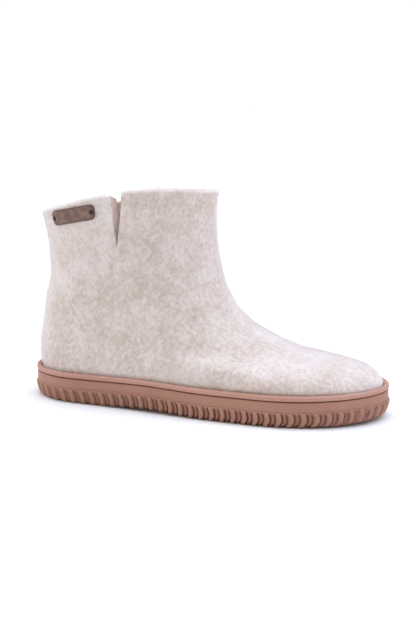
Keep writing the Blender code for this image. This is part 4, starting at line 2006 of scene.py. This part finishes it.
@dataclass
class Studio:
    """Pale floor, soft light and the camera at the photograph's angle. Its distances are in metres."""

    azimuth_deg: float = 23.93
    elevation_deg: float = 13.5
    distance: float = 1.0
    aim: Triple = (0.001, 0.0, 0.066)
    focal_px: float = 1373.0
    frame_long_px: float = 624.0
    sensor_mm: float = 36.0
    floor_half: float = 12.0
    backdrop_radius: float = 9.0
    backdrop_height: float = 1.3
    backdrop_steps: int = 96
    sky: Colour = (1.0, 0.985, 0.955)
    sky_strength: float = 0.40
    lamps: tuple[Lamp, ...] = (
        Lamp("top_lamp", (0.0, 0.16, 1.0), (0.895, 1.01, 1.265), 3.25, 75.0),
        Lamp("toe_lamp", (0.90, 0.10, 0.45), (0.94, 1.0, 1.20), 0.95, 60.0),
        Lamp("heel_lamp", (-0.90, -0.35, 0.40), (1.0, 0.99, 0.97), 1.22, 60.0),
    )

    def build(self) -> None:
        """Set up everything round the boot."""
        self.build_floor()
        self.build_backdrop()
        self.build_light()
        self.build_camera()

    def build_floor(self) -> None:
        """Lay the floor."""
        half = self.floor_half
        corners = [(-half, -half, 0.0), (half, -half, 0.0), (half, half, 0.0), (-half, half, 0.0)]
        mesh = bpy.data.meshes.new("floor")
        mesh.from_pydata(corners, [], [(0, 1, 2, 3)])
        mesh.materials.append(PALE_FLOOR.make())
        add_object("floor", mesh)

    def build_backdrop(self) -> None:
        """Hang the white cloth in a ring round the floor."""
        angle = np.linspace(0.0, 2.0 * np.pi, self.backdrop_steps, endpoint=False)
        ring = np.stack((np.cos(angle), np.sin(angle), np.zeros_like(angle)), axis=-1) * self.backdrop_radius
        skin = Skin()
        numbers = skin.add_rings(np.stack((ring, ring + np.array((0.0, 0.0, self.backdrop_height)))))
        skin.sheet(numbers, WHOLE_MAP, flip=True)
        mesh = skin.mesh("backdrop")
        mesh.materials.append(WHITE_CLOTH.make())
        add_object("backdrop", mesh)

    def build_light(self) -> None:
        """Light the boot from all round, and softly from above and from both ends."""
        world = bpy.data.worlds.new("studio")
        world.use_nodes = True
        background = world.node_tree.nodes["Background"]
        background.inputs["Color"].default_value = (*self.sky, 1.0)
        background.inputs["Strength"].default_value = self.sky_strength
        bpy.context.scene.world = world
        bpy.context.scene.view_settings.view_transform = "Standard"
        for lamp in self.lamps:
            light = bpy.data.lights.new(lamp.name, "SUN")
            light.color = lamp.colour
            light.energy = lamp.strength
            light.angle = math.radians(lamp.width_deg)
            item = add_object(lamp.name, light)
            item.rotation_euler = Vector(lamp.toward).to_track_quat("Z", "Y").to_euler()

    def build_camera(self) -> None:
        """Look at the boot from the photograph's side and height."""
        azimuth, elevation = math.radians(self.azimuth_deg), math.radians(self.elevation_deg)
        level = math.cos(elevation)
        away = Vector((math.sin(azimuth) * level, -math.cos(azimuth) * level, math.sin(elevation)))
        lens = bpy.data.cameras.new("camera")
        lens.sensor_width = self.sensor_mm
        lens.lens = self.focal_px / self.frame_long_px * self.sensor_mm
        camera = add_object("camera", lens)
        camera.location = away * self.distance
        camera.rotation_euler = (Vector(self.aim) - camera.location).to_track_quat("-Z", "Y").to_euler()
        bpy.context.scene.camera = camera


def main() -> None:
    """Build and dress every piece of the boot, and the studio round it."""
    logging.basicConfig(level=logging.INFO, format="%(name)s: %(message)s")
    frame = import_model()
    LOG.info("frame: %d solids", len(frame["nodes"]))
    Studio().build()

    last = Last()
    felt = FeltUpper(last)
    wall = felt.build()
    felt.dress(wall, BOOT_FELT.make())
    nap = Nap()
    nap.dress(nap.build(wall.data), WOOL_HAIRS.make())

    sole, rand, footbed = CupSole(last), Rand(last), Footbed(last)
    for part, finish in ((sole, SOLE_RUBBER), (rand, RAND_RUBBER), (footbed, FOOTBED_FELT)):
        part.dress(part.build(), finish.make())

    tag = LeatherTag(felt)
    tag.dress(tag.build(), TAG_LEATHER.make())
    lacquer = STUD_LACQUER.make()
    for end in End:
        stud = Stud(tag, end)
        stud.dress(stud.build(), lacquer)


if __name__ == "__main__":
    main()
